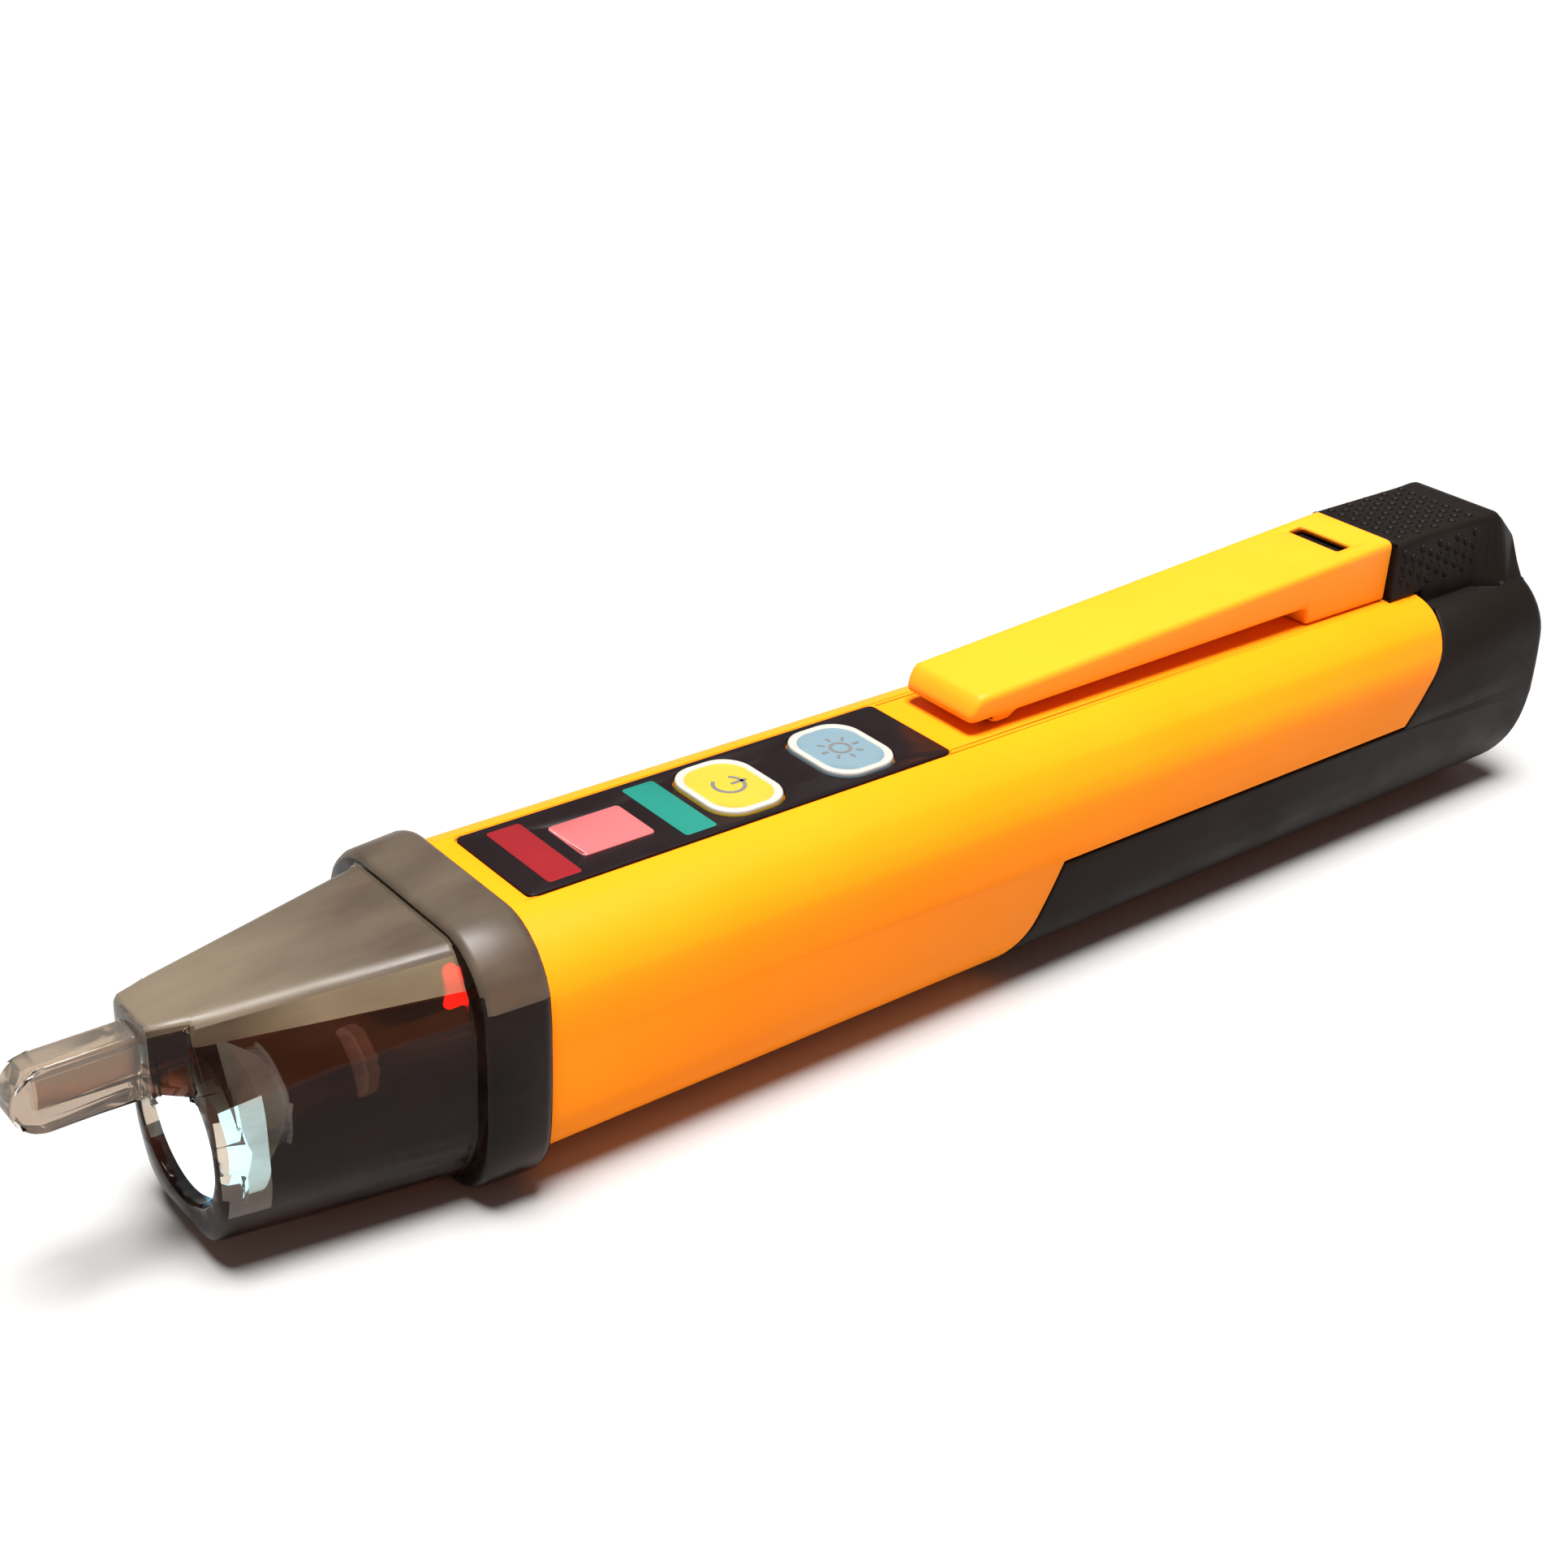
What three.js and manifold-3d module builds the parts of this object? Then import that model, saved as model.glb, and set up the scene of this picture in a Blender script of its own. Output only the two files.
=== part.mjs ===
// A pen-shaped non-contact voltage tester, in millimetres.
// +X runs from the sensing tip to the battery cap, +Y across the pen and +Z up through the control panel.
// The origin is the centre of the bounding box's underside, so the pen lies on the plane z = 0.
import * as THREE from "three";
import { mergeVertices } from "three/addons/utils/BufferGeometryUtils.js";
import Module from "manifold-3d";

const wasm = await Module();
wasm.setup();

// ---- Driving dimensions -------------------------------------------------

const LENGTH = 176;
const BARREL_WIDTH = 25.2;
const BARREL_HEIGHT = 24.0;
const BARREL_CORNER = 6.9;
const BARREL_CROWN = 1.0; // how far the side faces bulge at mid height
const BARREL_BOTTOM = 0.9; // the collar stands proud of the barrel by this much
const WALL = 1.7;
const GAP = 0.3; // running clearance between pieces that are cut by each other
const SEAT = 0.05; // clearance between pieces that lie flat on each other

const TIP_X = -LENGTH / 2;
const END_X = LENGTH / 2;
const SEAM_X = -48; // where the nose's collar meets the barrel
const COLLAR_LENGTH = 6.0;
const SPIGOT_LENGTH = 4.6;

const BARREL_TOP = BARREL_BOTTOM + BARREL_HEIGHT;
const BARREL_MID = BARREL_BOTTOM + BARREL_HEIGHT / 2;
const ROOF_UNDERSIDE = BARREL_TOP - WALL;

// The line, seen from the side, along which the barrel and the battery cover meet:
// a slant at the front, level at SPLIT_Z, then a bulging edge up to the roof at the rear.
const SPLIT_Z = 13;
const SPLIT_SLOPE = 1.98; // rise over run of the front slant
const SPLIT_FRONT_X = 11;
const SPLIT_REAR = [[63, SPLIT_Z], [67.3, 18.3], [69.5, 22.2], [70.2, 24.4]];

// Control panel: a thin overlay in a shallow recess of the barrel's roof.
const PANEL = { x0: -45.5, x1: 1.1, halfWidth: 5.8, depth: 0.5, corner: 0.6 };
const KEY = { x: 7.9, y: 9.6, corner: 2.9, proud: 0.4, flange: 0.8, travel: 0.5 };
const KEY_FLANGE_THICKNESS = 0.6;
const TACT_SWITCH = { half: 3, height: 1.9, plungerRadius: 1.1, wellFloor: 0.3 };
const POWER_KEY_X = -20.6;
const TORCH_KEY_X = -7.6;
const WINDOW = { x: -34.4, sizeX: 7.5, sizeY: 5.8, corner: 0.5 };
const LIGHT_PIPE = { halfX: 2.9, halfY: 2.1 };

// Circuit board, hung under the roof.
const BOARD = { top: 19.4, thickness: 1.2, x0: -50, x1: 12, halfWidth: 8.0 };
const BOARD_TONGUE = { x0: -62, halfWidth: 4.4 };
const ALERT_LAMP = { x: -52.9, length: 3.0, y0: 4.7, y1: 7.2, z0: 17.6, z1: 21.9 };
const SCREW_XS = [-40.5, 5.5];
const SCREW = { shank: 1.0, head: 1.9, headHeight: 1.2, length: 4.4 };

// Torch in the lower front of the nose.
const TORCH = { z: 10.8, lensRadius: 6.5, faceX: -74.4, lensFront: -74.2, lensBack: -67.4 };

// Sensing blade at the very front.
const BLADE = { halfThickness: 1.5, bottom: 15.5, top: 21.4, rootX: -76 };
const ANTENNA = { x0: -85.6, half: 0.25, z0: 17.6, z1: 19.8 };

// What the circuit board carries: boxes and cans under it, a diode on top of it.
const INDICATOR_DIODE = { halfX: 1.6, halfY: 1, height: 1 };
const CHIP = { x0: -20, x1: -10, halfWidth: 2.5, height: 1.7 };
const BUZZER = { x: -30, radius: 5.6, height: 3.2 };
const CAPACITOR = { x: -3.5, y: 4, radius: 2, height: 5.4 };
const SCREW_BOSS_RADIUS = 2.3;

// Walls of the see-through nose: the cone's, and how deep the collar's and the spigot's bores lie.
const NOSE_WALL = 1.3;
const COLLAR_BORE = 2.3;
const SPIGOT_BORE = 3.4;

// Two AAA cells side by side.
const CELL = { radius: 5.2, length: 43.4, nub: 1.0, nubRadius: 1.9, y: 5.4, z: 10 };
const BAY = { x0: 20.0, x1: 70.5 };
const CARRIER = { plate: 2, halfWidth: 9, roof: [15.9, 17.1], saddleXs: [33, 53], saddle: [12.2, 16.5] };
const CONTACT = { thickness: 0.35, halfWidth: 4, bridgeHalfWidth: 9.4, z0: 6.6, z1: 13.4 };
const SPRING = { wire: 0.35, wide: 3.4, narrow: 1.8, turns: 3.5 };
const LEAD = { z: 14.2, radius: 0.55, hole: 0.9 };
const PAD = { x0: 30, x1: 58, halfWidth: 5.4 };

// Pocket clip.
const CLIP = {
  tipX: 4.4, rootX: 52, rearX: 65,
  tipTop: 28.8, rearTop: 31.9, tipUnder: 26.1, rootUnder: 26.9,
  tipHalf: 4.85, rearHalf: 5.45,
};
const LATCH_TUNNEL = { halfWidth: 4.0, z0: 28.1, z1: 31.0, x0: 57.2 };
const LATCH_SLOT = { x: 59.3, sizeX: 2.2, halfWidth: 3.4 };
const LATCH_TONGUE = { halfWidth: 3.6, top: 30.2, nubTop: 30.75, nubHalfWidth: 3.5 };
const CLIP_NUB = { x0: 7, x1: 12, flat0: 8.2, flat1: 10, halfWidth: 3.6 };

// Thumb block on top of the battery cap.
const THUMB = { x0: 65.3, top: 32, foot: BARREL_TOP + GAP };

// ---- Geometry helpers ---------------------------------------------------

function solidOf(geometry) {
  const bare = new THREE.BufferGeometry();
  bare.setAttribute("position", geometry.getAttribute("position"));
  if (geometry.index) bare.setIndex(geometry.index);
  const merged = mergeVertices(bare, 1e-4);
  return new wasm.Manifold(
    new wasm.Mesh({
      numProp: 3,
      vertProperties: merged.attributes.position.array,
      triVerts: new Uint32Array(merged.index.array),
    }),
  );
}

function geometryOf(solid) {
  const mesh = solid.getMesh();
  const geometry = new THREE.BufferGeometry();
  geometry.setAttribute("position", new THREE.BufferAttribute(mesh.vertProperties, 3));
  geometry.setIndex(new THREE.BufferAttribute(mesh.triVerts, 1));
  geometry.computeVertexNormals();
  return geometry;
}

function box(x0, x1, y0, y1, z0, z1) {
  const geometry = new THREE.BoxGeometry(x1 - x0, y1 - y0, z1 - z0);
  geometry.translate((x0 + x1) / 2, (y0 + y1) / 2, (z0 + z1) / 2);
  return solidOf(geometry);
}

// A cylinder or cone along X, from x0 (radius r0) to x1 (radius r1).
function rodX(x0, x1, y, z, r0, r1 = r0, segments = 24) {
  const geometry = new THREE.CylinderGeometry(r1, r0, x1 - x0, segments);
  geometry.rotateZ(-Math.PI / 2);
  geometry.translate((x0 + x1) / 2, y, z);
  return solidOf(geometry);
}

function rodZ(x, y, z0, z1, r0, r1 = r0, segments = 20) {
  const geometry = new THREE.CylinderGeometry(r1, r0, z1 - z0, segments);
  geometry.rotateX(Math.PI / 2);
  geometry.translate(x, y, (z0 + z1) / 2);
  return solidOf(geometry);
}

// A closed profile of [radius, x] points turned about the X axis through (y, z).
function turnedX(profile, y, z, segments = 32) {
  const points = profile.map(([r, x]) => new THREE.Vector2(r, x));
  const geometry = new THREE.LatheGeometry(points, segments);
  geometry.rotateZ(-Math.PI / 2);
  geometry.translate(0, y, z);
  return solidOf(geometry);
}

// A polygon of [x, z] points, seen from the side, spread from y0 to y1.
function sideProfile(points, y0, y1) {
  const shape = new THREE.Shape(points.map(([x, z]) => new THREE.Vector2(x, z)));
  const geometry = new THREE.ExtrudeGeometry(shape, { depth: y1 - y0, bevelEnabled: false });
  geometry.rotateX(Math.PI / 2);
  geometry.translate(0, y1, 0);
  return solidOf(geometry);
}

// A rectangle with round corners, seen from above, spread from z0 to z1.
function roundedPlate(x, y, sizeX, sizeY, corner, z0, z1) {
  const [w, h] = [sizeX / 2, sizeY / 2];
  const shape = new THREE.Shape();
  shape.absarc(w - corner, h - corner, corner, 0, Math.PI / 2);
  shape.absarc(corner - w, h - corner, corner, Math.PI / 2, Math.PI);
  shape.absarc(corner - w, corner - h, corner, Math.PI, 1.5 * Math.PI);
  shape.absarc(w - corner, corner - h, corner, 1.5 * Math.PI, 2 * Math.PI);
  const geometry = new THREE.ExtrudeGeometry(shape, {
    depth: z1 - z0,
    bevelEnabled: false,
    curveSegments: 5,
  });
  geometry.translate(x, y, z0);
  return solidOf(geometry);
}

// A skin through outlines of [y, z] points at rising x, all with the same number of points.
function loft(stations) {
  const count = stations[0].outline.length;
  const positions = stations.flatMap(({ x, outline }) => outline.flatMap(([y, z]) => [x, y, z]));
  const index = [];
  for (let i = 0; i + 1 < stations.length; i++) {
    for (let j = 0; j < count; j++) {
      const [a, b] = [i * count + j, i * count + ((j + 1) % count)];
      index.push(a, b, a + count, b, b + count, a + count);
    }
  }
  const last = (stations.length - 1) * count;
  const flat = (outline) => outline.map(([y, z]) => new THREE.Vector2(y, z));
  for (const [a, b, c] of THREE.ShapeUtils.triangulateShape(flat(stations[0].outline), [])) {
    index.push(a, c, b);
  }
  for (const [a, b, c] of THREE.ShapeUtils.triangulateShape(flat(stations.at(-1).outline), [])) {
    index.push(last + a, last + b, last + c);
  }
  const geometry = new THREE.BufferGeometry();
  geometry.setAttribute("position", new THREE.Float32BufferAttribute(positions, 3));
  geometry.setIndex(index);
  return solidOf(geometry);
}

// The barrel's cross-section grown outwards by `grow`: a rounded rectangle with crowned sides.
function barrelOutline(grow = 0, corner = BARREL_CORNER) {
  const halfWidth = BARREL_WIDTH / 2 + grow;
  const halfHeight = BARREL_HEIGHT / 2 + grow;
  const radius = Math.max(corner + grow, 0.6);
  const cornerSteps = 6;
  const sideSteps = 4;
  const points = [];
  for (const [signY, signZ, start] of [[1, 1, 0], [-1, 1, 90], [-1, -1, 180], [1, -1, 270]]) {
    for (let i = 0; i <= cornerSteps; i++) {
      const angle = THREE.MathUtils.degToRad(start + (90 * i) / cornerSteps);
      points.push([
        signY * (halfWidth - radius) + radius * Math.cos(angle),
        signZ * (halfHeight - radius) + radius * Math.sin(angle),
      ]);
    }
    const runsAlongSide = signY * signZ < 0;
    if (runsAlongSide) {
      const from = points.at(-1);
      for (let i = 1; i < sideSteps; i++) points.push([from[0], from[1] * (1 - (2 * i) / sideSteps)]);
    }
  }
  return points.map(([y, z]) => {
    const crown = BARREL_CROWN * (z / halfHeight) ** 2 * (Math.abs(y) / halfWidth);
    return [y - Math.sign(y) * crown, z + BARREL_MID];
  });
}

// Rounds every corner of a polygon of [y, z] points, with the same number of points at each.
// `radius` is one reach for all corners, or a list with one for each.
function rounded(points, radius, steps = 3) {
  const at = (i) => new THREE.Vector2(...points[(i + points.length) % points.length]);
  return points.flatMap((point, i) => {
    const corner = at(i);
    const before = at(i - 1).sub(corner);
    const after = at(i + 1).sub(corner);
    const wanted = Array.isArray(radius) ? radius[i] : radius;
    const reach = Math.min(wanted, before.length() * 0.45, after.length() * 0.45);
    const curve = new THREE.QuadraticBezierCurve(
      corner.clone().add(before.setLength(reach)),
      corner,
      corner.clone().add(after.setLength(reach)),
    );
    return curve.getPoints(steps).map((p) => [p.x, p.y]);
  });
}

// A side-symmetric outline, anticlockwise, from its right half given bottom to top.
function mirrored(rightHalf) {
  return [...rightHalf, ...rightHalf.toReversed().map(([y, z]) => [-y, z])];
}

function tube(curve, radius, steps, sides = 8) {
  const shape = new THREE.Shape();
  for (let i = 0; i < sides; i++) {
    const angle = (2 * Math.PI * i) / sides;
    const [x, y] = [radius * Math.cos(angle), radius * Math.sin(angle)];
    if (i === 0) shape.moveTo(x, y);
    else shape.lineTo(x, y);
  }
  shape.closePath();
  return solidOf(new THREE.ExtrudeGeometry(shape, { steps, extrudePath: curve }));
}

class ConicalHelix extends THREE.Curve {
  // Winds about the X axis through (y, z) from x0 to x1, its radius going from r0 to r1.
  constructor({ x0, x1, y, z, r0, r1, turns }) {
    super();
    Object.assign(this, { x0, x1, y, z, r0, r1, turns });
  }
  getPoint(t, target = new THREE.Vector3()) {
    const angle = 2 * Math.PI * this.turns * t;
    const radius = THREE.MathUtils.lerp(this.r0, this.r1, t);
    return target.set(
      THREE.MathUtils.lerp(this.x0, this.x1, t),
      this.y + radius * Math.cos(angle),
      this.z + radius * Math.sin(angle),
    );
  }
}

// ---- Materials ----------------------------------------------------------

const material = (color, roughness, metalness = 0, extra = {}) =>
  new THREE.MeshStandardMaterial({ color, roughness, metalness, ...extra });

const yellowPlastic = material(0xf7b21a, 0.42);
const blackPlastic = material(0x1c191a, 0.5);
const smokePlastic = material(0x4a3d33, 0.12, 0, { transparent: true, opacity: 0.55 });
const clearPlastic = material(0xe8f4fb, 0.05, 0, { transparent: true, opacity: 0.45 });
const panelFilm = material(0x241c1e, 0.35);
const amberKey = material(0xf0b93a, 0.5);
const blueKey = material(0x8fb3cc, 0.5);
const pinkWindow = material(0xf27f86, 0.2);
const redDiode = material(0xd8141c, 0.15);
const whiteDiode = material(0xdcefff, 0.1);
const chromePlastic = material(0xd5d8dc, 0.15, 1);
const boardGreen = material(0x1e5a35, 0.5);
const chipBlack = material(0x202020, 0.5);
const nickel = material(0xb9bcbf, 0.3, 1);
const brass = material(0xc8a24a, 0.3, 1);
const cellJacket = material(0x2f3f57, 0.35);
const whitePlastic = material(0xe6e4dc, 0.5);
const foam = material(0x3a3a3c, 0.95);
const redWire = material(0xb32020, 0.5);
const blackWire = material(0x1a1a1a, 0.5);

// ---- Assembly -----------------------------------------------------------

const tester = new THREE.Group();

function add(name, solid, look) {
  const mesh = new THREE.Mesh(geometryOf(solid), look);
  mesh.name = name;
  tester.add(mesh);
}

// What lies on the battery cover's side of the split line, seen from the side.
// `shift` moves the line towards the cover.
function coverSide(shift) {
  const across = shift * Math.hypot(1, 1 / SPLIT_SLOPE);
  const low = -2;
  const high = 40;
  const level = SPLIT_Z - shift;
  const slanted = (z) => SPLIT_FRONT_X + across + (z - SPLIT_Z) / SPLIT_SLOPE;
  const rear = SPLIT_REAR.map(([x, z]) => [x + across, z]);
  return sideProfile(
    [
      [slanted(low), low],
      [slanted(level), level],
      [SPLIT_REAR[0][0] + shift * 0.4, level],
      ...rear.slice(1),
      [rear.at(-1)[0], high],
      [END_X + 20, high],
      [END_X + 20, low],
    ].toReversed(),
    -BARREL_WIDTH,
    BARREL_WIDTH,
  );
}

function buildHousing() {
  const front = SEAM_X + 0.15;
  let housing = loft([
    { x: front, outline: barrelOutline() },
    { x: 74, outline: barrelOutline() },
  ]);
  housing = housing.subtract(
    loft([
      { x: front - 1, outline: barrelOutline(-WALL) },
      { x: 75, outline: barrelOutline(-WALL) },
    ]),
  );
  housing = housing.subtract(coverSide(-GAP / 2));

  for (const x of SCREW_XS) {
    housing = housing.add(rodZ(x, 0, BOARD.top + SEAT, ROOF_UNDERSIDE + 0.5, SCREW_BOSS_RADIUS));
  }
  for (const x of SCREW_XS) {
    housing = housing.subtract(rodZ(x, 0, BOARD.top - 1, BOARD.top + 3.2, SCREW.shank + GAP, undefined, 12));
  }

  housing = housing.subtract(
    roundedPlate(
      (PANEL.x0 + PANEL.x1) / 2, 0,
      PANEL.x1 - PANEL.x0 + 0.2, 2 * PANEL.halfWidth + 0.2, PANEL.corner,
      BARREL_TOP - PANEL.depth, BARREL_TOP + 1,
    ),
  );
  for (const x of [POWER_KEY_X, TORCH_KEY_X]) housing = housing.subtract(keyHole(x));
  housing = housing.subtract(
    box(
      WINDOW.x - LIGHT_PIPE.halfX - GAP, WINDOW.x + LIGHT_PIPE.halfX + GAP,
      -LIGHT_PIPE.halfY - GAP, LIGHT_PIPE.halfY + GAP, ROOF_UNDERSIDE - 1, BARREL_TOP + 1,
    ),
  );
  add("main_housing", housing, yellowPlastic);
}

function keyHole(x) {
  return roundedPlate(
    x, 0, KEY.x + 2 * GAP, KEY.y + 2 * GAP, KEY.corner + GAP,
    ROOF_UNDERSIDE - 1, BARREL_TOP + 1,
  );
}

function buildControlPanel() {
  const floor = BARREL_TOP - PANEL.depth + SEAT;
  let panel = roundedPlate(
    (PANEL.x0 + PANEL.x1) / 2, 0,
    PANEL.x1 - PANEL.x0, 2 * PANEL.halfWidth, PANEL.corner,
    floor, BARREL_TOP + SEAT,
  );
  for (const x of [POWER_KEY_X, TORCH_KEY_X]) panel = panel.subtract(keyHole(x));
  panel = panel.subtract(
    roundedPlate(
      WINDOW.x, 0, WINDOW.sizeX + 2 * SEAT, WINDOW.sizeY + 2 * SEAT, WINDOW.corner, floor - 1, BARREL_TOP + 1,
    ),
  );
  add("control_panel", panel, panelFilm);

  const pane = roundedPlate(WINDOW.x, 0, WINDOW.sizeX, WINDOW.sizeY, WINDOW.corner, floor, BARREL_TOP + 0.1);
  const lightPipe = box(
    WINDOW.x - LIGHT_PIPE.halfX, WINDOW.x + LIGHT_PIPE.halfX,
    -LIGHT_PIPE.halfY, LIGHT_PIPE.halfY, ROOF_UNDERSIDE - 0.4, floor + 0.1,
  );
  add("indicator_window", pane.add(lightPipe), pinkWindow);
}

function buildKeys() {
  const flangeTop = ROOF_UNDERSIDE - GAP;
  const flangeBottom = flangeTop - KEY_FLANGE_THICKNESS;
  const { half, plungerRadius } = TACT_SWITCH;
  const switchTop = BOARD.top + SEAT + TACT_SWITCH.height;
  const wellBottom = BOARD.top + TACT_SWITCH.wellFloor;
  for (const [name, x, look] of [["power", POWER_KEY_X, amberKey], ["torch", TORCH_KEY_X, blueKey]]) {
    const stem = roundedPlate(x, 0, KEY.x, KEY.y, KEY.corner, flangeTop - 0.1, BARREL_TOP + KEY.proud);
    const flange = roundedPlate(
      x, 0, KEY.x + 2 * KEY.flange, KEY.y + 2 * KEY.flange, KEY.corner, flangeBottom, flangeTop,
    );
    add(`${name}_button`, stem.add(flange), look);
    add(
      `${name}_switch_plunger`,
      rodZ(x, 0, wellBottom + GAP + KEY.travel, flangeBottom - SEAT, plungerRadius),
      whitePlastic,
    );
    const switchBody = box(x - half, x + half, -half, half, BOARD.top + SEAT, switchTop);
    add(
      `${name}_switch`,
      switchBody.subtract(rodZ(x, 0, wellBottom, switchTop + 1, plungerRadius + GAP)),
      chipBlack,
    );
  }
}

function buildCircuitBoard() {
  const bottom = BOARD.top - BOARD.thickness;
  const outline = [
    [BOARD_TONGUE.x0, -BOARD_TONGUE.halfWidth],
    [BOARD.x0, -BOARD_TONGUE.halfWidth],
    [BOARD.x0, -BOARD.halfWidth],
    [BOARD.x1, -BOARD.halfWidth],
    [BOARD.x1, BOARD.halfWidth],
    [BOARD.x0, BOARD.halfWidth],
    [BOARD.x0, BOARD_TONGUE.halfWidth],
    [BOARD_TONGUE.x0, BOARD_TONGUE.halfWidth],
  ].map(([x, y]) => new THREE.Vector2(x, y));
  const blank = new THREE.ExtrudeGeometry(new THREE.Shape(outline), {
    depth: BOARD.thickness,
    bevelEnabled: false,
  });
  blank.translate(0, 0, bottom);
  let board = solidOf(blank);
  for (const x of SCREW_XS) board = board.subtract(rodZ(x, 0, bottom - 1, BOARD.top + 1, SCREW.shank + GAP));
  add("circuit_board", board, boardGreen);

  SCREW_XS.forEach((x, i) => {
    const head = rodZ(x, 0, bottom - SEAT - SCREW.headHeight, bottom - SEAT, SCREW.head, undefined, 16);
    const shank = rodZ(x, 0, bottom - SEAT - 0.1, bottom - SEAT + SCREW.length, SCREW.shank, undefined, 12);
    const drive = (sizeX, sizeY) =>
      box(x - sizeX, x + sizeX, -sizeY, sizeY, bottom - SCREW.headHeight - 1, bottom - SCREW.headHeight + 0.5);
    const screw = head.add(shank).subtract(drive(1.1, 0.25)).subtract(drive(0.25, 1.1));
    add(`board_screw_${i + 1}`, screw, nickel);
  });

  const { halfX, halfY, height } = INDICATOR_DIODE;
  add(
    "indicator_diode",
    box(WINDOW.x - halfX, WINDOW.x + halfX, -halfY, halfY, BOARD.top + SEAT, BOARD.top + height),
    whiteDiode,
  );
  add(
    "detector_chip",
    box(CHIP.x0, CHIP.x1, -CHIP.halfWidth, CHIP.halfWidth, bottom - CHIP.height, bottom - SEAT),
    chipBlack,
  );
  const canUnder = ({ x, y = 0, radius, height: drop }) => rodZ(x, y, bottom - drop, bottom - SEAT, radius);
  add("piezo_buzzer", canUnder(BUZZER), chipBlack);
  add("filter_capacitor", canUnder(CAPACITOR), cellJacket);
}

// Right half of the nose's cross-section, bottom to top, then mirrored and rounded.
function noseOutline({ bottom, waist, shoulder, crest }, inset = 0, soft = 2.2, crisp = 1.2) {
  const half = [
    [bottom[0] - inset * 0.7, bottom[1] + inset],
    [waist[0] - inset, waist[1] + inset * 0.3],
    [shoulder[0] - inset, shoulder[1] - inset * 0.3],
    [crest[0] - inset * 0.7, crest[1] - inset],
  ];
  return rounded(mirrored(half), [soft, soft, soft, crisp, crisp, soft, soft, soft]);
}

const NOSE_STATIONS = [
  { x: TORCH.faceX, bottom: [5.4, 2.1], waist: [8.1, 7.6], shoulder: [7.5, 15.5], crest: [4.0, 23.0] },
  { x: -65, bottom: [6.8, 1.8], waist: [9.5, 7.4], shoulder: [9.2, 17.4], crest: [5.7, 23.6] },
  { x: SEAM_X - COLLAR_LENGTH, bottom: [8.2, 1.6], waist: [11.0, 7.0], shoulder: [11.0, 18.6], crest: [7.8, 24.3] },
];
const COLLAR_CORNER = 5.6;

function buildNose() {
  const collarFront = SEAM_X - COLLAR_LENGTH;
  const skin = NOSE_STATIONS.map((s) => ({ x: s.x, outline: noseOutline(s) }));
  const frontLip = { x: TORCH.faceX - 0.6, outline: noseOutline(NOSE_STATIONS[0], 0.5) };
  const tucked = { x: collarFront + 2, outline: noseOutline(NOSE_STATIONS.at(-1)) };
  let nose = loft([frontLip, ...skin, tucked]);

  nose = nose.add(
    loft([
      { x: collarFront, outline: barrelOutline(0, COLLAR_CORNER) },
      { x: collarFront + 0.7, outline: barrelOutline(0.6, COLLAR_CORNER) },
      { x: SEAM_X - 0.9, outline: barrelOutline(BARREL_BOTTOM, COLLAR_CORNER) },
      { x: SEAM_X, outline: barrelOutline(0.5, COLLAR_CORNER) },
    ]),
  );

  // The brow carries the sensing blade in front of and above the torch.
  const brow = (x, crestHalf, crestZ, footHalf, footZ) => ({
    x,
    outline: rounded(mirrored([[footHalf, footZ], [crestHalf, crestZ]]), 1.0),
  });
  nose = nose.add(
    loft([
      brow(-77.9, 2.4, 22.1, 2.4, 15.9),
      brow(-77.3, 3.3, 22.8, 3.3, 15.4),
      brow(TORCH.faceX, 4.0, 23.0, 4.6, 15.2),
      brow(TORCH.faceX + 3, 4.0, 23.0, 4.8, 15.2),
    ]),
  );

  const bladeShape = new THREE.Shape();
  const [bladeRadius, bladeMid] = [(BLADE.top - BLADE.bottom) / 2, (BLADE.top + BLADE.bottom) / 2];
  bladeShape.moveTo(BLADE.rootX, BLADE.bottom);
  bladeShape.lineTo(BLADE.rootX, BLADE.top);
  bladeShape.absarc(TIP_X + bladeRadius, bladeMid, bladeRadius, Math.PI / 2, 1.5 * Math.PI);
  const bladeOutline = bladeShape.getPoints(8).map((p) => [p.x, p.y]);
  nose = nose.add(sideProfile(bladeOutline.toReversed(), -BLADE.halfThickness, BLADE.halfThickness));

  nose = nose.add(
    loft([
      { x: SEAM_X - 1, outline: barrelOutline(-WALL - GAP) },
      { x: SEAM_X + SPIGOT_LENGTH, outline: barrelOutline(-WALL - GAP) },
    ]),
  );

  // Hollow it from behind, open the torch hole, and slot the blade for the antenna.
  const hollowXs = [TORCH.faceX + 1.8, NOSE_STATIONS[1].x, collarFront + 0.4];
  nose = nose.subtract(
    loft(hollowXs.map((x, i) => ({ x, outline: noseOutline(NOSE_STATIONS[i], NOSE_WALL, 1.4, 0.9) }))),
  );
  nose = nose.subtract(
    loft([
      { x: collarFront + 0.3, outline: barrelOutline(-COLLAR_BORE) },
      { x: SEAM_X - 0.9, outline: barrelOutline(-COLLAR_BORE) },
      { x: SEAM_X - 0.1, outline: barrelOutline(-SPIGOT_BORE) },
      { x: SEAM_X + SPIGOT_LENGTH + 1, outline: barrelOutline(-SPIGOT_BORE) },
    ]),
  );
  nose = nose.subtract(
    rodX(TORCH.faceX - 3, TORCH.faceX + 3.8, 0, TORCH.z, TORCH.lensRadius + GAP, undefined, 40),
  );
  const slot = ANTENNA.half + GAP + SEAT;
  nose = nose.subtract(
    box(ANTENNA.x0 - GAP, TORCH.faceX + 3, -slot, slot, ANTENNA.z0 - GAP, ANTENNA.z1 + GAP),
  );
  add("nose_housing", nose, smokePlastic);

  add(
    "sensor_antenna",
    box(ANTENNA.x0, BOARD_TONGUE.x0 - SEAT, -ANTENNA.half, ANTENNA.half, ANTENNA.z0, ANTENNA.z1),
    brass,
  );
}

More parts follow.
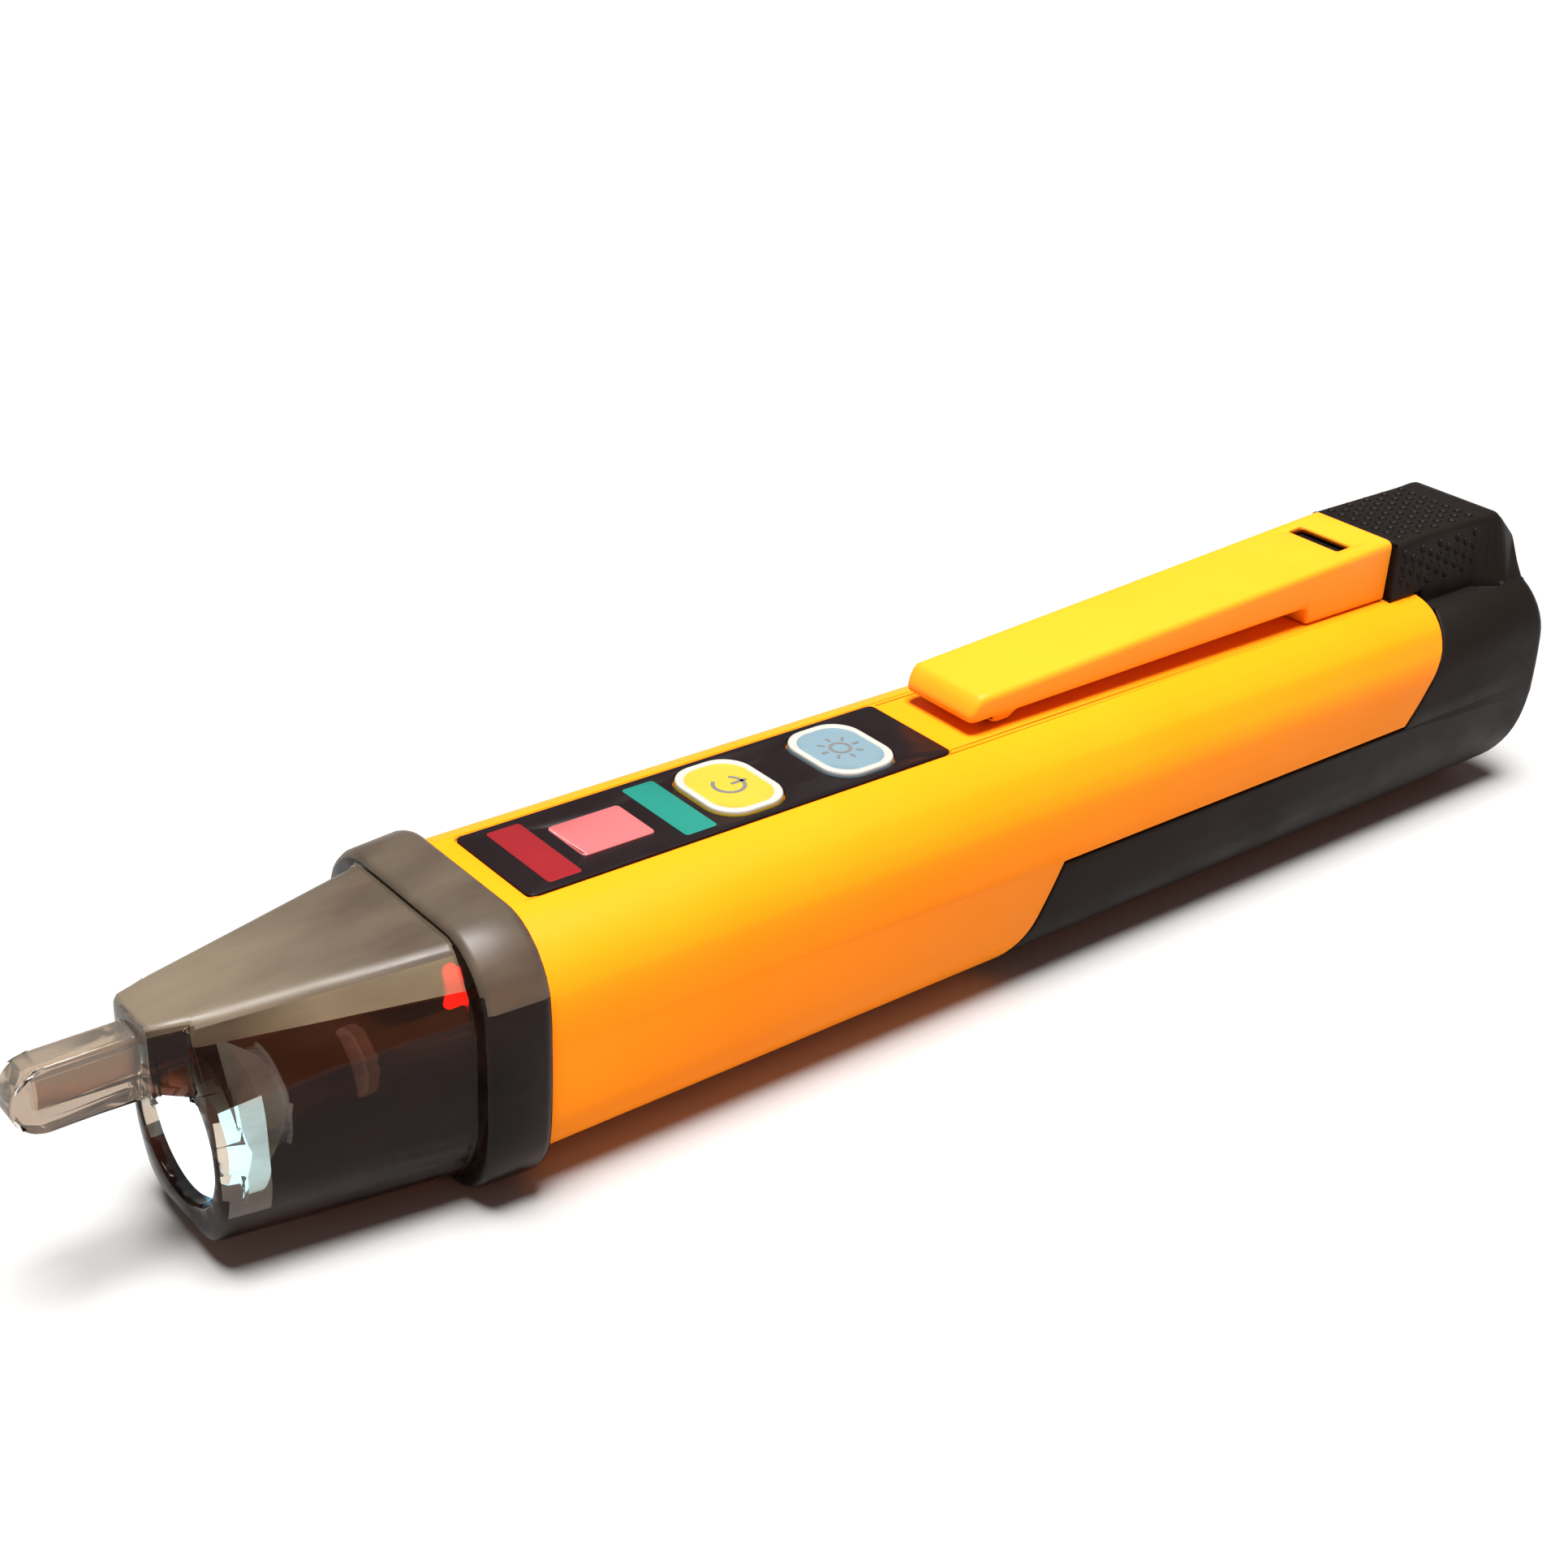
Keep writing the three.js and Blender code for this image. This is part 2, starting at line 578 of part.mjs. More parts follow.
function buildTorch() {
  const rim = TORCH.lensRadius;
  add(
    "torch_lens",
    turnedX(
      [
        [0, TORCH.lensFront],
        [rim - 1.0, TORCH.lensFront],
        [rim, TORCH.lensFront + 0.5],
        [rim, TORCH.lensFront + 4],
        [rim - 0.9, TORCH.lensFront + 4.6],
        [3.6, TORCH.lensBack],
        [0, TORCH.lensBack],
      ],
      0, TORCH.z,
    ),
    clearPlastic,
  );
  const lampFront = TORCH.lensBack + 0.4;
  add(
    "torch_reflector",
    turnedX(
      [
        [4.1, lampFront - 0.2],
        [4.7, lampFront - 0.2],
        [4.7, lampFront + 5.6],
        [3.2, lampFront + 5.6],
        [3.2, lampFront + 2.2],
        [4.1, lampFront - 0.2],
      ],
      0, TORCH.z, 28,
    ),
    chromePlastic,
  );
  add(
    "torch_diode",
    turnedX(
      [
        [0, lampFront + 0.1],
        [1.3, lampFront + 0.4],
        [2.2, lampFront + 1.2],
        [2.5, lampFront + 2.4],
        [2.5, lampFront + 7.6],
        [3.0, lampFront + 7.6],
        [3.0, lampFront + 8.6],
        [0, lampFront + 8.6],
      ],
      0, TORCH.z, 20,
    ),
    whiteDiode,
  );
  for (const [side, sign] of [["left", 1], ["right", -1]]) {
    const { x, length, y0, y1, z0, z1 } = ALERT_LAMP;
    const lamp = sideProfile(
      rounded([[x - length / 2, z0], [x + length / 2, z0], [x + length / 2, z1], [x - length / 2, z1]], 0.7),
      y0, y1,
    );
    add(`alert_lamp_${side}`, sign > 0 ? lamp : lamp.translate([0, -y0 - y1, 0]), redDiode);
  }
}

function buildClip() {
  const slope = (CLIP.rearTop - CLIP.tipTop) / (CLIP.rearX - CLIP.tipX);
  const topAt = (x) => CLIP.tipTop + slope * (x - CLIP.tipX);
  const halfAt = (x) =>
    THREE.MathUtils.mapLinear(x, CLIP.tipX, CLIP.rearX, CLIP.tipHalf, CLIP.rearHalf);
  const bar = (x, under, shrink = 0) => ({
    x,
    outline: rounded(
      mirrored([[halfAt(x) - shrink, under + shrink], [halfAt(x) - shrink, topAt(x) - shrink]]),
      0.8,
    ),
  });

  let root = loft([bar(CLIP.rootX, BARREL_TOP + SEAT), bar(CLIP.rearX, BARREL_TOP + SEAT)]);
  root = root.subtract(
    box(
      LATCH_TUNNEL.x0, CLIP.rearX + 1,
      -LATCH_TUNNEL.halfWidth, LATCH_TUNNEL.halfWidth, LATCH_TUNNEL.z0, LATCH_TUNNEL.z1,
    ),
  );
  root = root.subtract(
    roundedPlate(
      LATCH_SLOT.x, 0, LATCH_SLOT.sizeX, 2 * LATCH_SLOT.halfWidth, 0.4,
      LATCH_TUNNEL.z1 - 0.2, CLIP.rearTop + 1,
    ),
  );
  add("clip_root", root, yellowPlastic);

  const lip = (x, half, under, top) => ({ x, outline: rounded(mirrored([[half, under], [half, top]]), 0.8) });
  const arm = loft([
    lip(CLIP.tipX, CLIP.tipHalf - 0.6, CLIP.tipUnder + 0.3, CLIP.tipTop - 1.9),
    lip(CLIP.tipX + 0.4, CLIP.tipHalf - 0.2, CLIP.tipUnder, CLIP.tipTop - 0.9),
    bar(CLIP.tipX + 1.3, CLIP.tipUnder),
    bar(CLIP.rootX - GAP, CLIP.rootUnder),
  ]);
  const nub = sideProfile(
    [
      [CLIP_NUB.x0, CLIP.tipUnder + 0.4], [CLIP_NUB.flat0, BARREL_TOP + 0.35],
      [CLIP_NUB.flat1, BARREL_TOP + 0.35], [CLIP_NUB.x1, CLIP.tipUnder + 0.4],
    ],
    -CLIP_NUB.halfWidth, CLIP_NUB.halfWidth,
  );
  add("pocket_clip", arm.add(nub), yellowPlastic);
}

// Rear end of the cap, seen from the side: what is left over below and behind it is cut away.
const CAP_HEEL = [
  [80, -1], [81, BARREL_BOTTOM], [83.6, 3.2], [86.3, 9.5], [87.5, 13.4], [88.2, 17], [90, 17], [90, -1],
];

// The cap's hollow: how far its surface lies inside the wall's, along the pen.
const CAP_HOLLOW = [[1, 0], [79.5, 0], [82.4, 2], [83.6, 3.5]];

// The cap's thumb block: half-widths at its foot and top and its height, along the pen.
const THUMB_STATIONS = [
  { x: 70.9, foot: 6.3, half: 5.9, top: THUMB.top },
  { x: 79.5, foot: 6.4, half: 5.9, top: THUMB.top },
  { x: 81.5, foot: 7.8, half: 6.0, top: THUMB.top },
  { x: 83.2, foot: 8.8, half: 6.1, top: THUMB.top - 0.1 },
  { x: 86.4, foot: 9.2, half: 5.9, top: 28.9 },
  { x: 87.6, foot: 8.8, half: 5.4, top: 26 },
];
const THUMB_ROOT_Z = 22;
const GROOVE = { x0: 69, x1: 82.6, y0: 5.6, y1: 8.4, bottom: 23.5 };

function buildBatteryCover() {
  const capSection = (x, inset) => ({ x, outline: barrelOutline(-inset) });
  let cover = loft([
    capSection(2, 0),
    capSection(85.8, 0),
    capSection(86.8, 0.3),
    capSection(87.5, 0.8),
    capSection(END_X, 1.9),
  ]);
  cover = cover.subtract(sideProfile(CAP_HEEL.toReversed(), -BARREL_WIDTH, BARREL_WIDTH));
  cover = cover.intersect(coverSide(GAP / 2));
  for (const side of [-1, 1]) {
    const [y0, y1] = [side * GROOVE.y0, side * GROOVE.y1].toSorted((a, b) => a - b);
    cover = cover.subtract(box(GROOVE.x0, GROOVE.x1, y0, y1, GROOVE.bottom, BARREL_TOP + 1));
  }

  // The thumb block continues the clip's line: its front part hangs over the barrel's roof.
  const thumb = ({ x, foot, half, top }, footZ) => ({
    x,
    outline: rounded(mirrored([[foot, footZ], [half, top]]), [0.2, 1, 1, 0.2]),
  });
  cover = cover.add(loft(THUMB_STATIONS.map((s) => thumb(s, THUMB_ROOT_Z))));
  const front = THUMB_STATIONS[0];
  const overhang = {
    ...front,
    foot: THREE.MathUtils.mapLinear(THUMB.foot, THUMB_ROOT_Z, THUMB.top, front.foot, front.half),
  };
  cover = cover.add(
    loft([THUMB.x0, THUMB_STATIONS[0].x + 0.3].map((x) => thumb({ ...overhang, x }, THUMB.foot))),
  );

  // Hollow behind the batteries.
  cover = cover.subtract(
    loft(CAP_HOLLOW.map(([x, depth]) => capSection(x, WALL + depth))),
  );

  // Latch tongue that reaches into the clip's root.
  const { halfWidth, top, nubTop, nubHalfWidth } = LATCH_TONGUE;
  cover = cover.add(
    box(LATCH_TUNNEL.x0 + 0.8, THUMB.x0 + 0.5, -halfWidth, halfWidth, LATCH_TUNNEL.z0 + GAP, top),
  );
  const [nub0, nub1] = [LATCH_SLOT.x - 1.1, LATCH_SLOT.x + 1.7];
  cover = cover.add(
    sideProfile(
      [[nub0 - 0.4, top - 0.2], [nub0, nubTop], [nub1, nubTop], [nub1, top - 0.2]].toReversed(),
      -nubHalfWidth, nubHalfWidth,
    ),
  );
  add("battery_cover", cover, blackPlastic);

  add(
    "battery_pad",
    box(
      PAD.x0, PAD.x1, -PAD.halfWidth, PAD.halfWidth,
      BARREL_BOTTOM + WALL + 2 * SEAT, CELL.z - CELL.radius - 0.2,
    ),
    foam,
  );
}

function buildBatteryBay() {
  const bulkhead = (x0, x1) =>
    loft([x0, x1].map((x) => ({
      x,
      outline: rounded(mirrored([[7.6, 4.6], [10.1, 7.4], [10.1, 17.1]]), 0.8),
    })));
  const { plate, halfWidth } = CARRIER;
  const roof = box(BAY.x0 - plate, BAY.x1 + plate, -halfWidth, halfWidth, ...CARRIER.roof);
  let carrier = bulkhead(BAY.x0 - plate, BAY.x0).add(bulkhead(BAY.x1, BAY.x1 + plate)).add(roof);
  for (const x of CARRIER.saddleXs) {
    const saddle = box(x - 1, x + 1, -halfWidth, halfWidth, ...CARRIER.saddle)
      .subtract(rodX(x - 2, x + 2, CELL.y, CELL.z, CELL.radius + GAP, undefined, 32))
      .subtract(rodX(x - 2, x + 2, -CELL.y, CELL.z, CELL.radius + GAP, undefined, 32));
    carrier = carrier.add(saddle);
  }
  for (const y of [CELL.y, -CELL.y]) {
    carrier = carrier.subtract(rodX(BAY.x0 - 3, BAY.x0 + 1, y, LEAD.z, LEAD.hole, undefined, 12));
  }
  add("battery_carrier", carrier, whitePlastic);

  const plateFront = [BAY.x0 + SEAT, BAY.x0 + SEAT + CONTACT.thickness];
  const plateRear = [BAY.x1 - SEAT - CONTACT.thickness, BAY.x1 - SEAT];
  const contact = (xs, y, half) => box(...xs, y - half, y + half, CONTACT.z0, CONTACT.z1);
  add("positive_contact", contact(plateFront, CELL.y, CONTACT.halfWidth), nickel);
  add("negative_contact", contact(plateFront, -CELL.y, CONTACT.halfWidth), nickel);
  add("bridge_contact", contact(plateRear, 0, CONTACT.bridgeHalfWidth), nickel);

  const cell = (x0, facing) => {
    const body = [[0, 0], [CELL.radius - 0.4, 0], [CELL.radius, 0.4], [CELL.radius, CELL.length - 0.4]];
    const cap = [
      [CELL.radius - 0.4, CELL.length], [CELL.nubRadius, CELL.length],
      [CELL.nubRadius, CELL.length + CELL.nub], [0, CELL.length + CELL.nub],
    ];
    const solid = turnedX([...body, ...cap], 0, 0, 28);
    return (facing > 0 ? solid : solid.rotate([0, 0, 180])).translate([x0, 0, 0]);
  };
  const springRoom = BAY.x1 - BAY.x0 - 0.8 - CELL.length - CELL.nub;
  const left = cell(plateFront[1] + 0.3 + CELL.length + CELL.nub, -1);
  const right = cell(plateRear[0] - 0.3 - CELL.length - CELL.nub, 1);
  add("battery_left", left.translate([0, CELL.y, CELL.z]), cellJacket);
  add("battery_right", right.translate([0, -CELL.y, CELL.z]), cellJacket);

  const spring = (plateX, facing, y) =>
    tube(
      new ConicalHelix({
        x0: plateX + facing * 0.5, x1: plateX + facing * (springRoom - 0.9),
        y, z: CELL.z, r0: SPRING.wide, r1: SPRING.narrow, turns: SPRING.turns,
      }),
      SPRING.wire, 56, 6,
    );
  add("rear_spring", spring(plateRear[0], -1, CELL.y), nickel);
  add("front_spring", spring(plateFront[1], 1, -CELL.y), nickel);

  for (const [name, y, look] of [["positive_lead", CELL.y, redWire], ["negative_lead", -CELL.y, blackWire]]) {
    const route = new THREE.CatmullRomCurve3([
      new THREE.Vector3(BAY.x0 - 0.2, y, LEAD.z),
      new THREE.Vector3(BAY.x0 - 4, y, LEAD.z),
      new THREE.Vector3(BAY.x0 - 6.4, y * 0.9, 15.4),
      new THREE.Vector3(BAY.x0 - 8.6, y * 0.8, 16.4),
      new THREE.Vector3(BAY.x0 - 12, y * 0.8, 17.2),
    ]);
    add(name, tube(route, LEAD.radius, 14), look);
  }
}

buildHousing();
buildControlPanel();
buildKeys();
buildCircuitBoard();
buildNose();
buildTorch();
buildClip();
buildBatteryCover();
buildBatteryBay();

export default tester;
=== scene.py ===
"""A pen-shaped non-contact voltage tester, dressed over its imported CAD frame.

Lengths are written in millimetres and scaled to metres when a mesh is made. +X runs from the
sensing tip to the battery cap, +Y across the pen and +Z up through the control panel.
"""
import math

import bmesh
import bpy
from mathutils import Matrix, Vector


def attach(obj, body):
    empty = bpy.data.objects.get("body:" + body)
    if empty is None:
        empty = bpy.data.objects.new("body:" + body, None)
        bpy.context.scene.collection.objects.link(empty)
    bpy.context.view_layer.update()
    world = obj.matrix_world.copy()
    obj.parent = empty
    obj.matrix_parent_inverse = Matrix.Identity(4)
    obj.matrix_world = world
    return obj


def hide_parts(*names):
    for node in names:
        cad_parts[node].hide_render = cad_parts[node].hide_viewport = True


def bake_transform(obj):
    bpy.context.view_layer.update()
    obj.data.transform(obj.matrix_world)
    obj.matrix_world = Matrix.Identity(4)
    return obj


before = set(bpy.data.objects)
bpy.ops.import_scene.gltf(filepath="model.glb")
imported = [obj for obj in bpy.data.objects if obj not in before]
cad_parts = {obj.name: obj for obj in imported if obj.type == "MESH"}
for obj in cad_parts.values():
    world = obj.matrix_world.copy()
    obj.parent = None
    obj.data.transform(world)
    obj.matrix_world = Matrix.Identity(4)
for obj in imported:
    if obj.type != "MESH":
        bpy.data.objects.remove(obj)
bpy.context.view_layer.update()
MM = 0.001

# ---- Driving dimensions, shared with the CAD -----------------------------------------------------

BARREL = {"width": 25.2, "height": 24.0, "corner": 6.9, "crown": 1.0, "bottom": 0.9, "wall": 1.7}
BARREL_TOP = BARREL["bottom"] + BARREL["height"]
BARREL_MID = BARREL["bottom"] + BARREL["height"] / 2
SEAM_X = -48.0
COLLAR_FRONT = SEAM_X - 6.0
SPIGOT_END = SEAM_X + 4.6
END_X = 88.0
TIP_X = -88.0
SPLIT = {
    "z": 13.0, "slope": 1.98, "front_x": 11.0, "gap": 0.12,
    "rear": [
        (63.0, 13.0), (65.2, 15.6), (67.3, 18.3), (68.6, 20.3), (69.5, 22.2), (70.1, 23.9), (70.2, 25.2),
    ],
}
PANEL = {"x0": -45.5, "x1": 1.1, "half": 5.8, "depth": 0.5, "corner": 0.6}
PANEL_MIDDLE = (PANEL["x0"] + PANEL["x1"]) / 2
PANEL_REACH = (PANEL["x1"] - PANEL["x0"]) / 2
BANDS = {"band_red": (-43.0, -39.6, "red_band"), "band_teal": (-28.9, -25.5, "teal_band")}
BAND_HALF = 4.9
KEY = {"x": 7.9, "y": 9.6, "corner": 2.9, "proud": 0.4, "play": 0.2, "flange": 0.8, "flange_z": (22.3, 22.9)}
KEY_HOLE_Z = (21.0, 26.0)
KEY_CROWN = [  # (how far below the key's top, how far in from its outline), going inwards
    (0.25, 0), (0.08, 0.07), (0, 0.25), (0, 0.62), (0.1, 0.74), (0.06, 1.6), (0.03, 2.6),
]
POWER_X, TORCH_KEY_X = -20.6, -7.6
WINDOW = {"x": -34.4, "size_x": 7.5, "size_y": 5.8, "corner": 0.5, "play": 0.03}
LIGHT_PIPE = {"half_x": 2.9, "half_y": 2.1, "corner": 0.4, "bottom": 22.8}
TORCH = {"z": 10.8, "radius": 6.5, "face_x": -74.4, "front": -74.2, "back": -67.4}
BLADE = {"half": 1.5, "bottom": 15.5, "top": 21.4, "root_x": -76.0}
CLIP = {
    "tip_x": 4.4, "root_x": 52.0, "rear_x": 65.0, "tip_top": 28.8, "rear_top": 31.9,
    "tip_under": 26.1, "root_under": 26.9, "tip_half": 4.85, "rear_half": 5.45,
}
TUNNEL = {"half": 4.0, "z0": 28.1, "z1": 31.0, "x0": 57.2}
LATCH_SLOT = {"x": 59.3, "size_x": 2.2, "half": 3.4}
THUMB_X, THUMB_TOP = 65.3, 31.7
ALERT_LAMP = {"x": -52.9, "half_x": 1.5, "y0": 4.7, "y1": 7.2, "z0": 17.6, "z1": 21.9, "lit": 0.9}
GROOVE = {"x0": 69.0, "x1": 82.6, "y0": 5.6, "y1": 8.4, "bottom": 23.5}

# ---- Camera, light and floor ---------------------------------------------------------------------

CAMERA = {"place": (-133.8, -141.6, 122.0), "target": (-10.2, 4.7, 20.15), "roll": 3.09, "lens": 52.9}


def make_camera():
    data = bpy.data.cameras.new("camera")
    data.lens = CAMERA["lens"]
    data.sensor_width = 36.0
    data.clip_start = 0.005
    camera = bpy.data.objects.new("camera", data)
    bpy.context.scene.collection.objects.link(camera)
    place, target = (Vector(CAMERA[k]) * MM for k in ("place", "target"))
    forward = (target - place).normalized()
    right = forward.cross(Vector((0, 0, 1))).normalized()
    up = right.cross(forward)
    roll = math.radians(CAMERA["roll"])
    rolled_right = right * math.cos(roll) + up * math.sin(roll)
    rolled_up = up * math.cos(roll) - right * math.sin(roll)
    camera.matrix_world = Matrix.Translation(place) @ Matrix(
        (rolled_right, rolled_up, -forward)
    ).transposed().to_4x4()
    bpy.context.scene.camera = camera


def area_light(name, place, target, size, power, color):
    data = bpy.data.lights.new(name, "AREA")
    data.shape = "DISK"
    data.size = size
    data.energy = power
    data.color = color
    light = bpy.data.objects.new(name, data)
    bpy.context.scene.collection.objects.link(light)
    light.location = place
    light.rotation_euler = (Vector(target) - Vector(place)).to_track_quat("-Z", "Y").to_euler()


def make_studio():
    scene = bpy.context.scene
    scene.view_settings.view_transform = "Standard"
    world = bpy.data.worlds.new("studio")
    scene.world = world
    world.use_nodes = True
    background = world.node_tree.nodes["Background"]
    background.inputs["Color"].default_value = (1.0, 0.985, 0.96, 1)
    background.inputs["Strength"].default_value = 0.15
    data = bpy.data.lights.new("overhead", "SUN")
    data.energy = 8.0
    data.angle = math.radians(28)
    data.color = (1.0, 0.99, 0.97)
    overhead = bpy.data.objects.new("overhead", data)
    scene.collection.objects.link(overhead)
    overhead.rotation_euler = Vector((0.05, 0.05, -1.0)).to_track_quat("-Z", "Y").to_euler()
    area_light("warm_fill", (-0.02, -0.32, 0.045), (0, 0, 0.010), 0.25, 0.32, (1.0, 0.22, 0.05))
    mesh = bpy.data.meshes.new("floor")
    reach = 6.0
    mesh.from_pydata(
        [(-reach, -reach, 0), (reach, -reach, 0), (reach, reach, 0), (-reach, reach, 0)], [], [(0, 1, 2, 3)]
    )
    floor = bpy.data.objects.new("floor", mesh)
    scene.collection.objects.link(floor)
    look = bpy.data.materials.new("floor_paper")
    look.use_nodes = True
    shader = look.node_tree.nodes["Principled BSDF"]
    shader.inputs["Base Color"].default_value = (0.405, 0.405, 0.405, 1)
    shader.inputs["Roughness"].default_value = 0.9
    shader.inputs["Specular IOR Level"].default_value = 0.2
    mesh.materials.append(look)


# ---- Materials -----------------------------------------------------------------------------------


class Look:
    """A Principled material with helpers for its procedural nodes."""

    def __init__(self, name, color=(0.8, 0.8, 0.8), roughness=0.5, metallic=0.0, **sockets):
        self.material = bpy.data.materials.new(name)
        self.material.use_nodes = True
        self.tree = self.material.node_tree
        self.shader = self.tree.nodes["Principled BSDF"]
        self.coordinates = None
        self.set("Base Color", (*color, 1))
        self.set("Roughness", roughness)
        self.set("Metallic", metallic)
        for socket, value in sockets.items():
            self.set(socket.replace("_", " ").title().replace("Ior", "IOR"), value)

    def set(self, socket, value):
        self.shader.inputs[socket].default_value = value

    def node(self, kind, **values):
        made = self.tree.nodes.new(kind)
        for key, value in values.items():
            setattr(made, key, value)
        return made

    def link(self, source, target):
        self.tree.links.new(source, target)

    def noise(self, scale, detail=3.0, stretch=(1, 1, 1)):
        """A noise texture in object space; scale is in features per metre."""
        if self.coordinates is None:
            self.coordinates = self.node("ShaderNodeTexCoord")
        mapping = self.node("ShaderNodeMapping")
        mapping.inputs["Scale"].default_value = stretch
        texture = self.node("ShaderNodeTexNoise")
        texture.inputs["Scale"].default_value = scale
        texture.inputs["Detail"].default_value = detail
        self.link(self.coordinates.outputs["Object"], mapping.inputs["Vector"])
        self.link(mapping.outputs["Vector"], texture.inputs["Vector"])
        return texture.outputs["Fac"]

    def ramp(self, source, low, high):
        """Maps a 0.3 to 0.7 noise onto low to high."""
        spread = self.node("ShaderNodeMapRange")
        spread.inputs["From Min"].default_value = 0.3
        spread.inputs["From Max"].default_value = 0.7
        spread.inputs["To Min"].default_value = low
        spread.inputs["To Max"].default_value = high
        self.link(source, spread.inputs["Value"])
        return spread.outputs["Result"]

    def along_pen(self, source, start, end, share=0.35):
        """A 0.3 to 0.7 noise that drifts from low at start to high at end (millimetres along the pen)."""
        place_x = self.node("ShaderNodeSeparateXYZ")
        self.link(self.coordinates.outputs["Object"], place_x.inputs["Vector"])
        drift = self.node("ShaderNodeMapRange")
        drift.inputs["From Min"].default_value = start * MM
        drift.inputs["From Max"].default_value = end * MM
        drift.inputs["To Min"].default_value = 0.3
        drift.inputs["To Max"].default_value = 0.7
        self.link(place_x.outputs["X"], drift.inputs["Value"])
        blend = self.node("ShaderNodeMix")
        blend.inputs["Factor"].default_value = share
        self.link(drift.outputs["Result"], blend.inputs["A"])
        self.link(source, blend.inputs["B"])
        return blend.outputs["Result"]

    def vary_color(self, source, first, second):
        mix = self.node("ShaderNodeMix", data_type="RGBA")
        mix.inputs["A"].default_value = (*first, 1)
        mix.inputs["B"].default_value = (*second, 1)
        self.link(self.ramp(source, 0.0, 1.0), mix.inputs["Factor"])
        self.link(mix.outputs["Result"], self.shader.inputs["Base Color"])

    def vary_roughness(self, source, low, high):
        self.link(self.ramp(source, low, high), self.shader.inputs["Roughness"])

    def bump(self, source, strength, depth):
        bump = self.node("ShaderNodeBump")
        bump.inputs["Strength"].default_value = strength
        bump.inputs["Distance"].default_value = depth
        self.link(source, bump.inputs["Height"])
        self.link(bump.outputs["Normal"], self.shader.inputs["Normal"])


def moulded(name, first, second, roughness, grain=3500.0, strength=0.25, gloss=0.5):
    """Injection-moulded plastic: faint colour drift, handled patches and a spark-eroded grain."""
    look = Look(name)
    look.set("Specular IOR Level", gloss)
    look.vary_color(look.noise(45.0), first, second)
    look.vary_roughness(look.noise(160.0, 5.0), roughness[0], roughness[1])
    look.bump(look.noise(grain, 2.0), strength, 0.00004)
    return look.material


def see_through(name, absorb, density, roughness, cloud_and_painted_light, clearness, bend, fade=None):
    """Tinted plastic: absorbs along its depth, with streaky base colours between the two given colours.

    In the smoke and the blade these colours are a cloudiness; in the lighter copies for the nose's top and
    shoulders they are painted light. With fade, the colour runs from the first at fade[0] to the second at
    fade[1] along the pen.
    """
    look = Look(name, cloud_and_painted_light[0], roughness, transmission_weight=clearness, specular_ior_level=0.15)
    look.set("IOR", bend)
    streaks = look.noise(260.0, 4.0, (0.35, 1, 1))
    look.vary_color(look.along_pen(streaks, *fade) if fade else streaks, *cloud_and_painted_light)
    look.vary_roughness(look.noise(300.0, 4.0), roughness, roughness + 0.06)
    volume = look.node("ShaderNodeVolumeAbsorption")
    volume.inputs["Color"].default_value = (*absorb, 1)
    volume.inputs["Density"].default_value = density
    output = look.tree.nodes["Material Output"]
    look.link(volume.outputs["Volume"], output.inputs["Volume"])
    return look.material


def glowing(name, color, glow, strength, roughness=0.2):
    look = Look(name, color, roughness)
    look.set("Emission Color", (*glow, 1))
    look.set("Emission Strength", strength)
    look.vary_roughness(look.noise(400.0), roughness, roughness + 0.1)
    return look.material


def metal(name, color, roughness, stretch=(1, 12, 1)):
    look = Look(name, color, roughness, 1.0)
    look.vary_roughness(look.noise(500.0, 4.0, stretch), roughness, roughness + 0.15)
    look.bump(look.noise(900.0, 3.0, stretch), 0.15, 0.00003)
    return look.material


